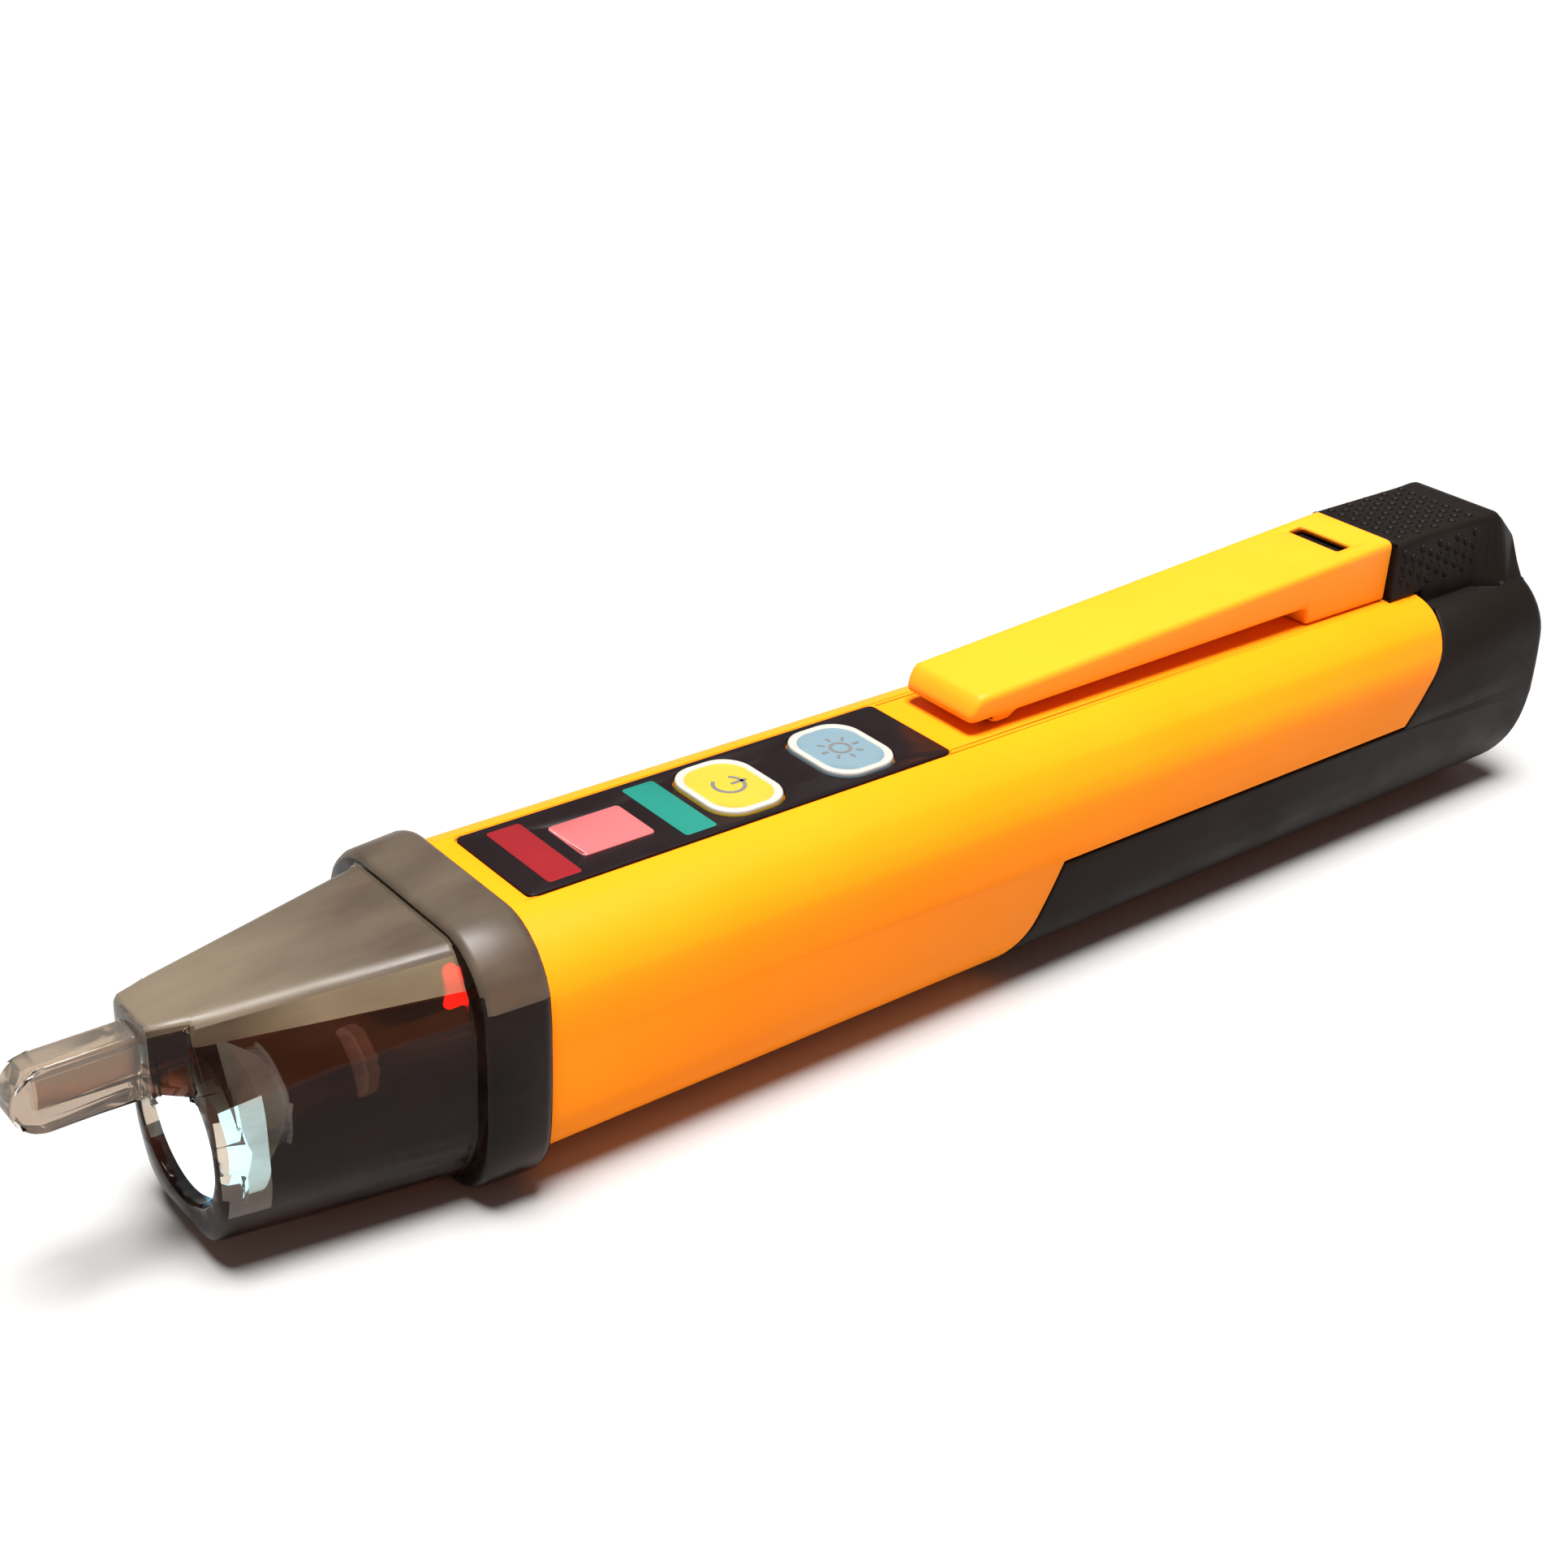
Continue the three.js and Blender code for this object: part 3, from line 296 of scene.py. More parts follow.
def make_looks():
    film = {"roughness": (0.3, 0.42), "grain": 2500.0, "strength": 0.08, "gloss": 0.2}
    key = {"roughness": (0.42, 0.55), "grain": 3000.0, "strength": 0.15, "gloss": 0.3}
    tint, dense = (0.46, 0.35, 0.26), 1600.0
    return {
        "yellow": moulded(
            "yellow_plastic", (0.93, 0.268, 0.005), (0.95, 0.290, 0.008), (0.42, 0.54), gloss=0.06
        ),
        "clip": moulded("clip_plastic", (0.94, 0.318, 0.012), (0.96, 0.342, 0.016), (0.38, 0.50), gloss=0.15),
        "black": moulded(
            "black_plastic", (0.0080, 0.0060, 0.0052), (0.0110, 0.0084, 0.0072), (0.42, 0.56), gloss=0.09
        ),
        "smoke": see_through(
            "smoke_plastic", tint, dense, 0.05, ((0.10, 0.04, 0.03), (0.45, 0.22, 0.15)), 0.965, 1.24
        ),
        # Lighter copies of the smoke for the nose's upward faces, as painted light: lighter towards the front
        # on the top, and lighter towards the rear on the shoulders
        "painted_light_smoke_top": see_through(
            "smoke_top_painted_light", tint, dense, 0.38, ((1.0, 0.80, 0.55), (0.36, 0.26, 0.19)), 0.85, 1.4,
            (-74.0, -56.0),
        ),
        "painted_light_smoke_shoulder": see_through(
            "smoke_shoulder_painted_light", tint, dense, 0.3, ((0.16, 0.09, 0.06), (1.0, 0.80, 0.50)), 0.84, 1.3,
            (-72.0, -65.0),
        ),
        "blade": see_through(
            "smoke_blade", tint, 300.0, 0.05, ((0.80, 0.70, 0.58), (0.90, 0.80, 0.68)), 0.90, 1.42
        ),
        "lens": glowing("torch_glow", (0.9, 0.97, 1.0), (0.86, 0.95, 1.0), 1.0),
        "lens_side": glowing("torch_glow_edge", (0.5, 0.8, 0.95), (0.30, 0.72, 1.0), 4.2),
        "panel": moulded("panel_film", (0.0080, 0.0040, 0.0048), (0.0105, 0.0058, 0.0066), **film),
        "red_band": moulded("band_red", (0.195, 0.0095, 0.013), (0.225, 0.0125, 0.017), **film),
        "teal_band": moulded("band_teal", (0.012, 0.165, 0.128), (0.016, 0.185, 0.145), **film),
        "pink": moulded(
            "window_pink", (0.45, 0.110, 0.114), (0.48, 0.122, 0.127), (0.15, 0.25), 2500.0, 0.05, 0.3
        ),
        "amber": moulded("key_amber", (0.46, 0.315, 0.026), (0.49, 0.340, 0.034), **key),
        "blue": moulded("key_blue", (0.140, 0.215, 0.258), (0.155, 0.232, 0.276), **key),
        "rim": moulded("key_rim", (0.38, 0.375, 0.345), (0.41, 0.40, 0.37), **key),
        "ink": moulded("icon_ink", (0.13, 0.13, 0.125), (0.15, 0.15, 0.145), **key),
        "red_lamp": glowing("red_lamp", (0.75, 0.01, 0.01), (1.0, 0.015, 0.01), 22.0),
        "lamp_body": moulded(
            "lamp_body", (0.10, 0.008, 0.008), (0.12, 0.010, 0.010), (0.3, 0.4), 2500.0, 0.1
        ),
        "white_lamp": glowing("white_lamp", (0.9, 0.95, 1.0), (0.85, 0.93, 1.0), 0.6),
        "chrome": metal("reflector_chrome", (0.86, 0.87, 0.89), 0.05, (1, 1, 1)),
        "nickel": metal("nickel", (0.72, 0.70, 0.66), 0.22),
        "brass": metal("antenna_brass", (0.36, 0.29, 0.22), 0.35, (12, 1, 1)),
        "board": moulded(
            "board_mask", (0.008, 0.060, 0.026), (0.012, 0.075, 0.032), (0.3, 0.42), 1500.0, 0.2
        ),
        "chip": moulded("chip_black", (0.02, 0.02, 0.022), (0.03, 0.03, 0.032), (0.4, 0.55), 3000.0, 0.3),
        "white": moulded("white_plastic", (0.64, 0.63, 0.58), (0.68, 0.67, 0.62), (0.4, 0.5)),
        "cell": moulded("cell_jacket", (0.03, 0.055, 0.12), (0.04, 0.07, 0.15), (0.25, 0.35), 1200.0, 0.05),
        "foam": moulded("foam", (0.02, 0.02, 0.021), (0.035, 0.035, 0.037), (0.85, 0.95), 2200.0, 0.9),
        "red_wire": moulded("wire_red", (0.45, 0.015, 0.012), (0.5, 0.02, 0.016), (0.4, 0.5), 2000.0, 0.1),
        "black_wire": moulded(
            "wire_black", (0.015, 0.015, 0.015), (0.02, 0.02, 0.02), (0.4, 0.5), 2000.0, 0.1
        ),
    }


# ---- Mesh helpers --------------------------------------------------------------------------------

# Each corner of a rectangle: its two signs, and the angle that its arc starts at.
QUARTERS = ((1, 1, 0), (-1, 1, 90), (-1, -1, 180), (1, -1, 270))


def new_object(name, points, faces, *materials):
    """An object from points in millimetres."""
    mesh = bpy.data.meshes.new(name)
    mesh.from_pydata([tuple(c * MM for c in p) for p in points], [], faces)
    for material in materials:
        mesh.materials.append(material)
    obj = bpy.data.objects.new(name, mesh)
    bpy.context.scene.collection.objects.link(obj)
    return obj


def facing_out(obj):
    work = bmesh.new()
    work.from_mesh(obj.data)
    bmesh.ops.recalc_face_normals(work, faces=work.faces)
    work.to_mesh(obj.data)
    work.free()
    return obj


def skin_faces(count, rows):
    """Quads between rows of count points each, and a cap on both ends."""
    faces = []
    for i in range(rows - 1):
        for j in range(count):
            a, b = i * count + j, i * count + (j + 1) % count
            faces.append((a, b, b + count, a + count))
    last = (rows - 1) * count
    faces.append(tuple(reversed(range(count))))
    faces.append(tuple(last + j for j in range(count)))
    return faces


def loft(name, stations, *materials):
    """A closed skin through (x, outline of (y, z)) stations, all with the same number of points."""
    points = [(x, y, z) for x, outline in stations for y, z in outline]
    faces = skin_faces(len(stations[0][1]), len(stations))
    return facing_out(new_object(name, points, faces, *materials))


def stack(name, levels, *materials):
    """As loft, but going up through (z, outline of (x, y)) levels."""
    points = [(x, y, z) for z, outline in levels for x, y in outline]
    faces = skin_faces(len(levels[0][1]), len(levels))
    return facing_out(new_object(name, points, faces, *materials))


def side_prism(name, outline, y0, y1, *materials):
    """A polygon of (x, z), seen from the side, spread from y0 to y1."""
    count = len(outline)
    points = [(x, y, z) for y in (y0, y1) for x, z in outline]
    faces = [(j, (j + 1) % count, count + (j + 1) % count, count + j) for j in range(count)]
    faces += [tuple(range(count)), tuple(count + j for j in reversed(range(count)))]
    return facing_out(new_object(name, points, faces, *materials))


def block(name, x0, x1, y0, y1, z0, z1, *materials):
    return stack(name, [(z, [(x0, y0), (x1, y0), (x1, y1), (x0, y1)]) for z in (z0, z1)], *materials)


def turned_x(name, profile, y, z, segments, *materials):
    """A closed profile of (radius, x), its ends on the axis, turned about the line through (y, z) along X."""
    points, faces, starts = [], [], []
    for radius, x in profile:
        starts.append(len(points))
        for j in range(1 if radius == 0 else segments):
            angle = 2 * math.pi * j / segments
            points.append((x, y + radius * math.cos(angle), z + radius * math.sin(angle)))
    for i in range(len(profile) - 1):
        a, b = starts[i], starts[i + 1]
        for j in range(segments):
            k = (j + 1) % segments
            if profile[i][0] == 0:
                faces.append((a, b + k, b + j))
            elif profile[i + 1][0] == 0:
                faces.append((a + j, a + k, b))
            else:
                faces.append((a + j, a + k, b + k, b + j))
    return facing_out(new_object(name, points, faces, *materials))


def settle(obj):
    """Applies the object's modifiers."""
    graph = bpy.context.evaluated_depsgraph_get()
    mesh = bpy.data.meshes.new_from_object(obj.evaluated_get(graph))
    obj.modifiers.clear()
    old, obj.data = obj.data, mesh
    bpy.data.meshes.remove(old)
    return obj


def combine(obj, tool, operation):
    """obj joined with, or cut by, tool, which is used up."""
    modifier = obj.modifiers.new("combine", "BOOLEAN")
    modifier.operation = operation
    modifier.solver = "EXACT"
    modifier.object = tool
    bpy.context.view_layer.update()
    settle(obj)
    mesh = tool.data
    bpy.data.objects.remove(tool)
    bpy.data.meshes.remove(mesh)
    return obj


def join(obj, tool):
    return combine(obj, tool, "UNION")


def cut(obj, tool):
    return combine(obj, tool, "DIFFERENCE")


def tidy(obj, distance=0.004):
    """Melts slivers that booleans leave."""
    work = bmesh.new()
    work.from_mesh(obj.data)
    bmesh.ops.remove_doubles(work, verts=work.verts, dist=distance * MM)
    bmesh.ops.dissolve_degenerate(work, edges=work.edges, dist=distance * MM)
    bmesh.ops.triangulate(work, faces=[f for f in work.faces if len(f.verts) > 4], ngon_method="BEAUTY")
    work.to_mesh(obj.data)
    work.free()
    return obj


def soften(obj, width, segments=3, angle=35.0):
    """Rounds every edge sharper than angle and shades the rest smooth."""
    tidy(obj)
    bevel = obj.modifiers.new("soften", "BEVEL")
    bevel.width = width * MM
    bevel.segments = segments
    bevel.limit_method = "ANGLE"
    bevel.angle_limit = math.radians(angle)
    bevel.use_clamp_overlap = False
    bevel.miter_outer = "MITER_ARC"
    bevel.harden_normals = True
    obj.data.shade_smooth()
    settle(obj)
    obj.data.set_sharp_from_angle(angle=math.radians(50))
    return obj


def rounded_rectangle(half_x, half_y, corner, steps=8, centre=(0.0, 0.0)):
    points = []
    for sign_x, sign_y, start in QUARTERS:
        for i in range(steps + 1):
            angle = math.radians(start + 90 * i / steps)
            points.append((
                centre[0] + sign_x * (half_x - corner) + corner * math.cos(angle),
                centre[1] + sign_y * (half_y - corner) + corner * math.sin(angle),
            ))
    return points


def section(grow=0.0, corner=BARREL["corner"], corner_steps=12, side_steps=6):
    """The barrel's cross-section grown outwards: a rounded rectangle with crowned sides."""
    half_y = BARREL["width"] / 2 + grow
    half_z = BARREL["height"] / 2 + grow
    radius = max(corner + grow, 0.6)
    points = []
    for sign_y, sign_z, start in QUARTERS:
        for i in range(corner_steps + 1):
            angle = math.radians(start + 90 * i / corner_steps)
            points.append((
                sign_y * (half_y - radius) + radius * math.cos(angle),
                sign_z * (half_z - radius) + radius * math.sin(angle),
            ))
        if sign_y * sign_z < 0:
            y, z = points[-1]
            points += [(y, z * (1 - 2 * i / side_steps)) for i in range(1, side_steps)]
    crowned = []
    for y, z in points:
        crown = BARREL["crown"] * (z / half_z) ** 2 * abs(y) / half_y
        crowned.append((y - math.copysign(crown, y), z + BARREL_MID))
    return crowned


def rounded(corners, radius, steps=6):
    """Every corner of a polygon turned into a curve; radius is one reach for all, or a list."""
    reaches = radius if isinstance(radius, list) else [radius] * len(corners)
    points = []
    for i, corner in enumerate(corners):
        corner = Vector(corner)
        before = Vector(corners[i - 1]) - corner
        after = Vector(corners[(i + 1) % len(corners)]) - corner
        reach = min(reaches[i], before.length * 0.45, after.length * 0.45)
        a, b = corner + before.normalized() * reach, corner + after.normalized() * reach
        for k in range(steps + 1):
            t = k / steps
            points.append(tuple(a * (1 - t) ** 2 + corner * 2 * t * (1 - t) + b * t * t))
    return points


def mirrored(right_half):
    return right_half + [(-y, z) for y, z in reversed(right_half)]


def place(obj, body, slot, *nodes):
    """Hands a finished piece to the frame."""
    if nodes:
        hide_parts(*nodes)
    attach(obj, body)
    return obj


# ---- Barrel, panel and keys ----------------------------------------------------------------------


def cover_side(name, shift):
    """Everything on the battery cover's side of the split line; shift moves the line towards the cover."""
    across = shift * math.hypot(1, 1 / SPLIT["slope"])
    level = SPLIT["z"] - shift

    def slanted(z):
        return SPLIT["front_x"] + across + (z - SPLIT["z"]) / SPLIT["slope"]

    low, high = -2.0, 40.0
    rear = [(x + across, z) for x, z in SPLIT["rear"]]
    return side_prism(
        name,
        [
            (slanted(low), low), (slanted(level), level), (SPLIT["rear"][0][0] + shift * 0.4, level),
            *rear[1:], (rear[-1][0], high), (END_X + 20, high), (END_X + 20, low),
        ],
        -BARREL["width"], BARREL["width"],
    )


def key_hole(x):
    play = KEY["play"]
    outline = rounded_rectangle(KEY["x"] / 2 + play, KEY["y"] / 2 + play, KEY["corner"] + play, 8, (x, 0))
    return stack("key_hole", [(z, outline) for z in KEY_HOLE_Z])


def make_barrel(looks):
    barrel = loft("barrel", [(SEAM_X + 0.1, section()), (74, section())], looks["yellow"])
    inner = section(-BARREL["wall"])
    cut(barrel, loft("bore", [(SEAM_X - 1, inner), (75, inner)]))
    cut(barrel, cover_side("split", -SPLIT["gap"]))
    play = 0.1
    recess = rounded_rectangle(
        PANEL_REACH + play, PANEL["half"] + play, PANEL["corner"], 4, (PANEL_MIDDLE, 0)
    )
    cut(barrel, stack("recess", [(BARREL_TOP - PANEL["depth"], recess), (BARREL_TOP + 1, recess)]))
    for x in (POWER_X, TORCH_KEY_X):
        cut(barrel, key_hole(x))
    soften(barrel, 0.22)
    place(barrel, "housing", "yellow_housing", "main_housing")


def make_panel(looks):
    outline = rounded_rectangle(PANEL_REACH, PANEL["half"], PANEL["corner"], 4, (PANEL_MIDDLE, 0))
    floor = BARREL_TOP - PANEL["depth"] + 0.05
    panel = stack("panel", [(floor, outline), (BARREL_TOP + 0.04, outline)], looks["panel"])
    for x in (POWER_X, TORCH_KEY_X):
        cut(panel, key_hole(x))
    centre, corner, play = (WINDOW["x"], 0), WINDOW["corner"], WINDOW["play"]
    half_x, half_y = WINDOW["size_x"] / 2, WINDOW["size_y"] / 2
    opening = rounded_rectangle(half_x + play, half_y + play, corner, 4, centre)
    cut(panel, stack("opening", [(floor - 1, opening), (BARREL_TOP + 1, opening)]))
    soften(panel, 0.06, 2)
    place(panel, "housing", "panel_film", "control_panel")

    for name, (x0, x1, look) in BANDS.items():
        band = rounded_rectangle((x1 - x0) / 2, BAND_HALF, 0.35, 4, ((x0 + x1) / 2, 0))
        plate = stack(name, [(BARREL_TOP + 0.03, band), (BARREL_TOP + 0.07, band)], looks[look])
        soften(plate, 0.015, 2)
        place(plate, "housing", "panel_film")

    pane_outline = rounded_rectangle(half_x, half_y, corner, 6, centre)
    pipe = rounded_rectangle(LIGHT_PIPE["half_x"], LIGHT_PIPE["half_y"], LIGHT_PIPE["corner"], 6, centre)
    pane = stack("window", [
        (LIGHT_PIPE["bottom"], pipe), (floor, pipe), (floor, pane_outline), (BARREL_TOP + 0.1, pane_outline),
    ], looks["pink"])
    soften(pane, 0.1, 3)
    place(pane, "housing", "window_pink", "indicator_window")


def key_outline(x, inset):
    corner = KEY["corner"] - inset * 0.6
    return rounded_rectangle(KEY["x"] / 2 - inset, KEY["y"] / 2 - inset, corner, 10, (x, 0))


def make_key(name, x, looks, look, slot, node):
    """A key with a flange under the roof, a dished face and a pale rim."""
    top = BARREL_TOP + KEY["proud"]
    flange_low, flange_top = KEY["flange_z"]
    grow = KEY["flange"]
    flange = rounded_rectangle(KEY["x"] / 2 + grow, KEY["y"] / 2 + grow, KEY["corner"], 10, (x, 0))
    levels = [(flange_low, flange), (flange_top, flange), (flange_top, key_outline(x, 0))]
    levels += [(top - below, key_outline(x, inset)) for below, inset in KEY_CROWN]
    key = stack(name, levels, looks[look], looks["rim"])
    count = len(flange)
    rim_from, rim_to = 3 * count, 7 * count
    for i, face in enumerate(key.data.polygons):
        face.use_smooth = True
        face.material_index = 1 if rim_from <= i < rim_to else 0
    key.data.set_sharp_from_angle(angle=math.radians(40))
    place(key, node, slot, node)


def arc_band(centre, radius, width, start, stop, steps):
    """Outline of a bent bar in the XY plane."""
    outer, inner = [], []
    for i in range(steps + 1):
        angle = math.radians(start + (stop - start) * i / steps)
        direction = (math.cos(angle), math.sin(angle))
        outer.append(tuple(c + (radius + width / 2) * d for c, d in zip(centre, direction)))
        inner.append(tuple(c + (radius - width / 2) * d for c, d in zip(centre, direction)))
    return outer + inner[::-1]


def make_icons(looks):
    """A power sign on the amber key, and a circle with eight rays on the blue one."""
    low, top = BARREL_TOP + KEY["proud"] - 0.07, BARREL_TOP + KEY["proud"] - 0.01
    ring_outline = arc_band((POWER_X, 0), 1.45, 0.38, 125, 415, 36)
    ring = stack("power_icon_ring", [(low, ring_outline), (top, ring_outline)], looks["ink"])
    bar_x = POWER_X + 1.2
    stem = block("power_icon_bar", bar_x - 0.95, bar_x + 0.75, -0.19, 0.19, low, top, looks["ink"])
    bulb_outline = arc_band((TORCH_KEY_X, 0), 0.95, 0.34, 0, 359.9, 36)
    bulb = stack("torch_icon_bulb", [(low, bulb_outline), (top, bulb_outline)], looks["ink"])
    for piece in (ring, stem):
        place(piece, "power_button", "key_amber")
    place(bulb, "torch_button", "key_blue")
    for i in range(8):
        angle = math.radians(45 * i)
        direction = Vector((math.cos(angle), math.sin(angle)))
        across = Vector((-direction.y, direction.x)) * 0.15
        near, far = (Vector((TORCH_KEY_X, 0)) + direction * reach for reach in (1.45, 2.15))
        outline = [tuple(near - across), tuple(far - across), tuple(far + across), tuple(near + across)]
        ray = stack(f"torch_icon_ray_{i + 1}", [(low, outline), (top, outline)], looks["ink"])
        place(ray, "torch_button", "key_blue")


# ---- Nose and torch ------------------------------------------------------------------------------

NOSE = [
    (TORCH["face_x"], (5.4, 2.1), (8.1, 7.6), (7.5, 15.5), (4.0, 23.0)),
    (-65.0, (6.8, 1.8), (9.5, 7.4), (9.2, 17.4), (5.7, 23.6)),
    (COLLAR_FRONT, (8.2, 1.6), (11.0, 7.0), (11.0, 18.6), (7.8, 24.3)),
]
COLLAR_CORNER = 5.6
COLLAR_FRONT_EDGE = ((0, 0.0), (0.2, 0.35), (0.7, 0.6))  # (distance in from the edge, growth)
COLLAR_REAR_EDGE = ((0.9, 0.9), (0.3, 0.8), (0, 0.45))
COLLAR_BORE, SPIGOT_BORE = 2.3, 3.4  # how far inside the barrel's outline
NOSE_WALL = 1.3
ANTENNA_SLOT = {"x0": -86, "half": 0.6, "z0": 17.3, "z1": 20.1}

BLADE_FROM = -77.6  # ahead of this there is only the blade
CLEAR_SHARE = 0.36  # how far from the first nose outline to the second it is clear beside the lens
LENS_WINDOW = (6.5, 16.5)
PAINTED_LIGHT_LEVEL = 21.0  # the nose's upward faces above this height wear painted light: lighter copies of the smoke
# the collar's upward faces above this height wear the top's painted light
COLLAR_PAINTED_LIGHT_LEVEL = 15.0


def nose_outline(corners, inset=0.0, soft=2.2, crisp=1.2):
    bottom, waist, shoulder, crest = corners
    half = [
        (bottom[0] - inset * 0.7, bottom[1] + inset), (waist[0] - inset, waist[1] + inset * 0.3),
        (shoulder[0] - inset, shoulder[1] - inset * 0.3), (crest[0] - inset * 0.7, crest[1] - inset),
    ]
    return rounded(mirrored(half), [soft, soft, soft, crisp, crisp, soft, soft, soft])


def score(obj, level):
    """Splits the faces that cross a level, so that they can wear two materials."""
    work = bmesh.new()
    work.from_mesh(obj.data)
    everything = work.verts[:] + work.edges[:] + work.faces[:]
    bmesh.ops.bisect_plane(work, geom=everything, plane_co=(0, 0, level * MM), plane_no=(0, 0, 1))
    work.to_mesh(obj.data)
    work.free()


def nose_slot(center, normal, clear_to):
    """0 smoke, 1 clear on the blade and beside the lens, 2 painted light on the top faces, 3 painted light on
    the shoulders.
    """
    low, high = LENS_WINDOW
    if center.x < BLADE_FROM:
        return 1
    if center.x < clear_to and low < center.z < high and normal.x > -0.5:
        return 1
    # Upward faces get the lighter copies of the smoke: painted light on the collar top, the nose top and its
    # shoulders.
    if center.x > COLLAR_FRONT:
        return 2 if normal.z > 0.2 and center.z > COLLAR_PAINTED_LIGHT_LEVEL else 0
    if normal.z > 0.2 and center.z > PAINTED_LIGHT_LEVEL:
        return 2 if normal.z > 0.6 else 3
    return 0


def make_nose(looks):
    ahead = [
        tuple(a + (b - a) * CLEAR_SHARE for a, b in zip(p, q)) for p, q in zip(NOSE[0][1:], NOSE[1][1:])
    ]
    clear_to = NOSE[0][0] + (NOSE[1][0] - NOSE[0][0]) * CLEAR_SHARE
    skin = [(s[0], nose_outline(s[1:])) for s in (NOSE[0], (clear_to, *ahead), *NOSE[1:])]
    lip = [
        (TORCH["face_x"] - 0.6, nose_outline(NOSE[0][1:], 0.6)),
        (TORCH["face_x"] - 0.45, nose_outline(NOSE[0][1:], 0.25)),
    ]
    nose = loft("nose", [*lip, *skin, (COLLAR_FRONT + 2, nose_outline(NOSE[-1][1:]))], looks["smoke"])
    join(nose, loft("collar", [
        *((COLLAR_FRONT + dx, section(grow, COLLAR_CORNER)) for dx, grow in COLLAR_FRONT_EDGE),
        *((SEAM_X - dx, section(grow, COLLAR_CORNER)) for dx, grow in COLLAR_REAR_EDGE),
    ]))

    def brow(x, crest, crest_z, foot, foot_z):
        return x, rounded(mirrored([(foot, foot_z), (crest, crest_z)]), 1.0)

    face = TORCH["face_x"]
    join(nose, loft("brow", [
        brow(-77.9, 2.4, 22.1, 2.4, 15.9),
        brow(-77.7, 2.95, 22.6, 2.95, 15.6),
        brow(-77.3, 3.3, 22.8, 3.3, 15.4),
        brow(face, 4.0, 23.0, 4.6, 15.2),
        brow(face + 3, 4.0, 23.0, 4.8, 15.2),
    ]))
    radius, middle = (BLADE["top"] - BLADE["bottom"]) / 2, (BLADE["top"] + BLADE["bottom"]) / 2
    tip = [
        (TIP_X + radius + radius * math.cos(a), middle + radius * math.sin(a))
        for a in (math.radians(90 + 180 * i / 20) for i in range(21))
    ]
    blade = [(BLADE["root_x"], BLADE["top"]), *tip, (BLADE["root_x"], BLADE["bottom"])]
    join(nose, side_prism("blade", blade, -BLADE["half"], BLADE["half"]))
    spigot = section(-BARREL["wall"] - 0.3)
    join(nose, loft("spigot", [(SEAM_X - 1, spigot), (SPIGOT_END, spigot)]))

    cut(nose, loft("nose_hollow", [
        (x, nose_outline(corners[1:], NOSE_WALL, 1.4, 0.9))
        for x, corners in zip((face + 1.8, -65.0, COLLAR_FRONT + 0.4), NOSE)
    ]))
    cut(nose, loft("collar_hollow", [
        (COLLAR_FRONT + 0.3, section(-COLLAR_BORE)), (SEAM_X - 0.9, section(-COLLAR_BORE)),
        (SEAM_X - 0.1, section(-SPIGOT_BORE)), (SPIGOT_END + 1, section(-SPIGOT_BORE)),
    ]))
    radius = TORCH["radius"] + 0.2
    hole = [(0, face - 3), (radius, face - 3), (radius, face + 3.8), (0, face + 3.8)]
    cut(nose, turned_x("torch_hole", hole, 0, TORCH["z"], 64))
    slot = ANTENNA_SLOT
    cut(nose, block("antenna_slot", slot["x0"], face + 3, -slot["half"], slot["half"], slot["z0"], slot["z1"]))
    # Split at the height where the painted light on the upward faces begins
    score(nose, PAINTED_LIGHT_LEVEL)
    soften(nose, 0.3, 3, 38.0)
    # The painted-light copies of the smoke for the top and the shoulders go in slots 2 and 3
    for look in ("blade", "painted_light_smoke_top", "painted_light_smoke_shoulder"):
        nose.data.materials.append(looks[look])
    for polygon in nose.data.polygons:
        polygon.material_index = nose_slot(polygon.center / MM, polygon.normal, clear_to)
    place(nose, "housing", "smoke_clear", "nose_housing")


def make_torch(looks):
    front, back = TORCH["front"], TORCH["back"]
    rim = TORCH["radius"]
    profile = [
        (0, front), (rim * 0.5, front + 0.04), (rim - 1.0, front + 0.12), (rim - 0.35, front + 0.3),
        (rim, front + 0.7), (rim, front + 2.6), (rim, front + 4), (rim - 0.9, front + 4.6),
        (3.6, back), (0, back),
    ]
    lens = turned_x("lens", profile, 0, TORCH["z"], 72, looks["lens"], looks["lens_side"])
    for face in lens.data.polygons:
        face.use_smooth = True
        face.material_index = 0 if face.center.x < (front + 0.5) * MM else 1
    lens.data.set_sharp_from_angle(angle=math.radians(45))
    place(lens, "housing", "lens_clear", "torch_lens")


def make_alert_lamps(looks):
    """Side-firing lamps: only the face towards the nose's side, to a depth of lit, lights up."""
    lamp = ALERT_LAMP
    for name, side in (("alert_lamp_left", 1), ("alert_lamp_right", -1)):
        y0, y1 = sorted((side * lamp["y0"], side * lamp["y1"]))
        body = block(name + "_body", lamp["x"] - lamp["half_x"], lamp["x"] + lamp["half_x"], y0, y1,
                     lamp["z0"], lamp["z1"], looks["lamp_body"], looks["red_lamp"])
        soften(body, 0.5, 3)
        for polygon in body.data.polygons:
            polygon.material_index = 1 if polygon.center.y * side > (lamp["y1"] - lamp["lit"]) * MM else 0
        place(body, "housing", "lamp_red", name)


# ---- Clip ----------------------------------------------------------------------------------------


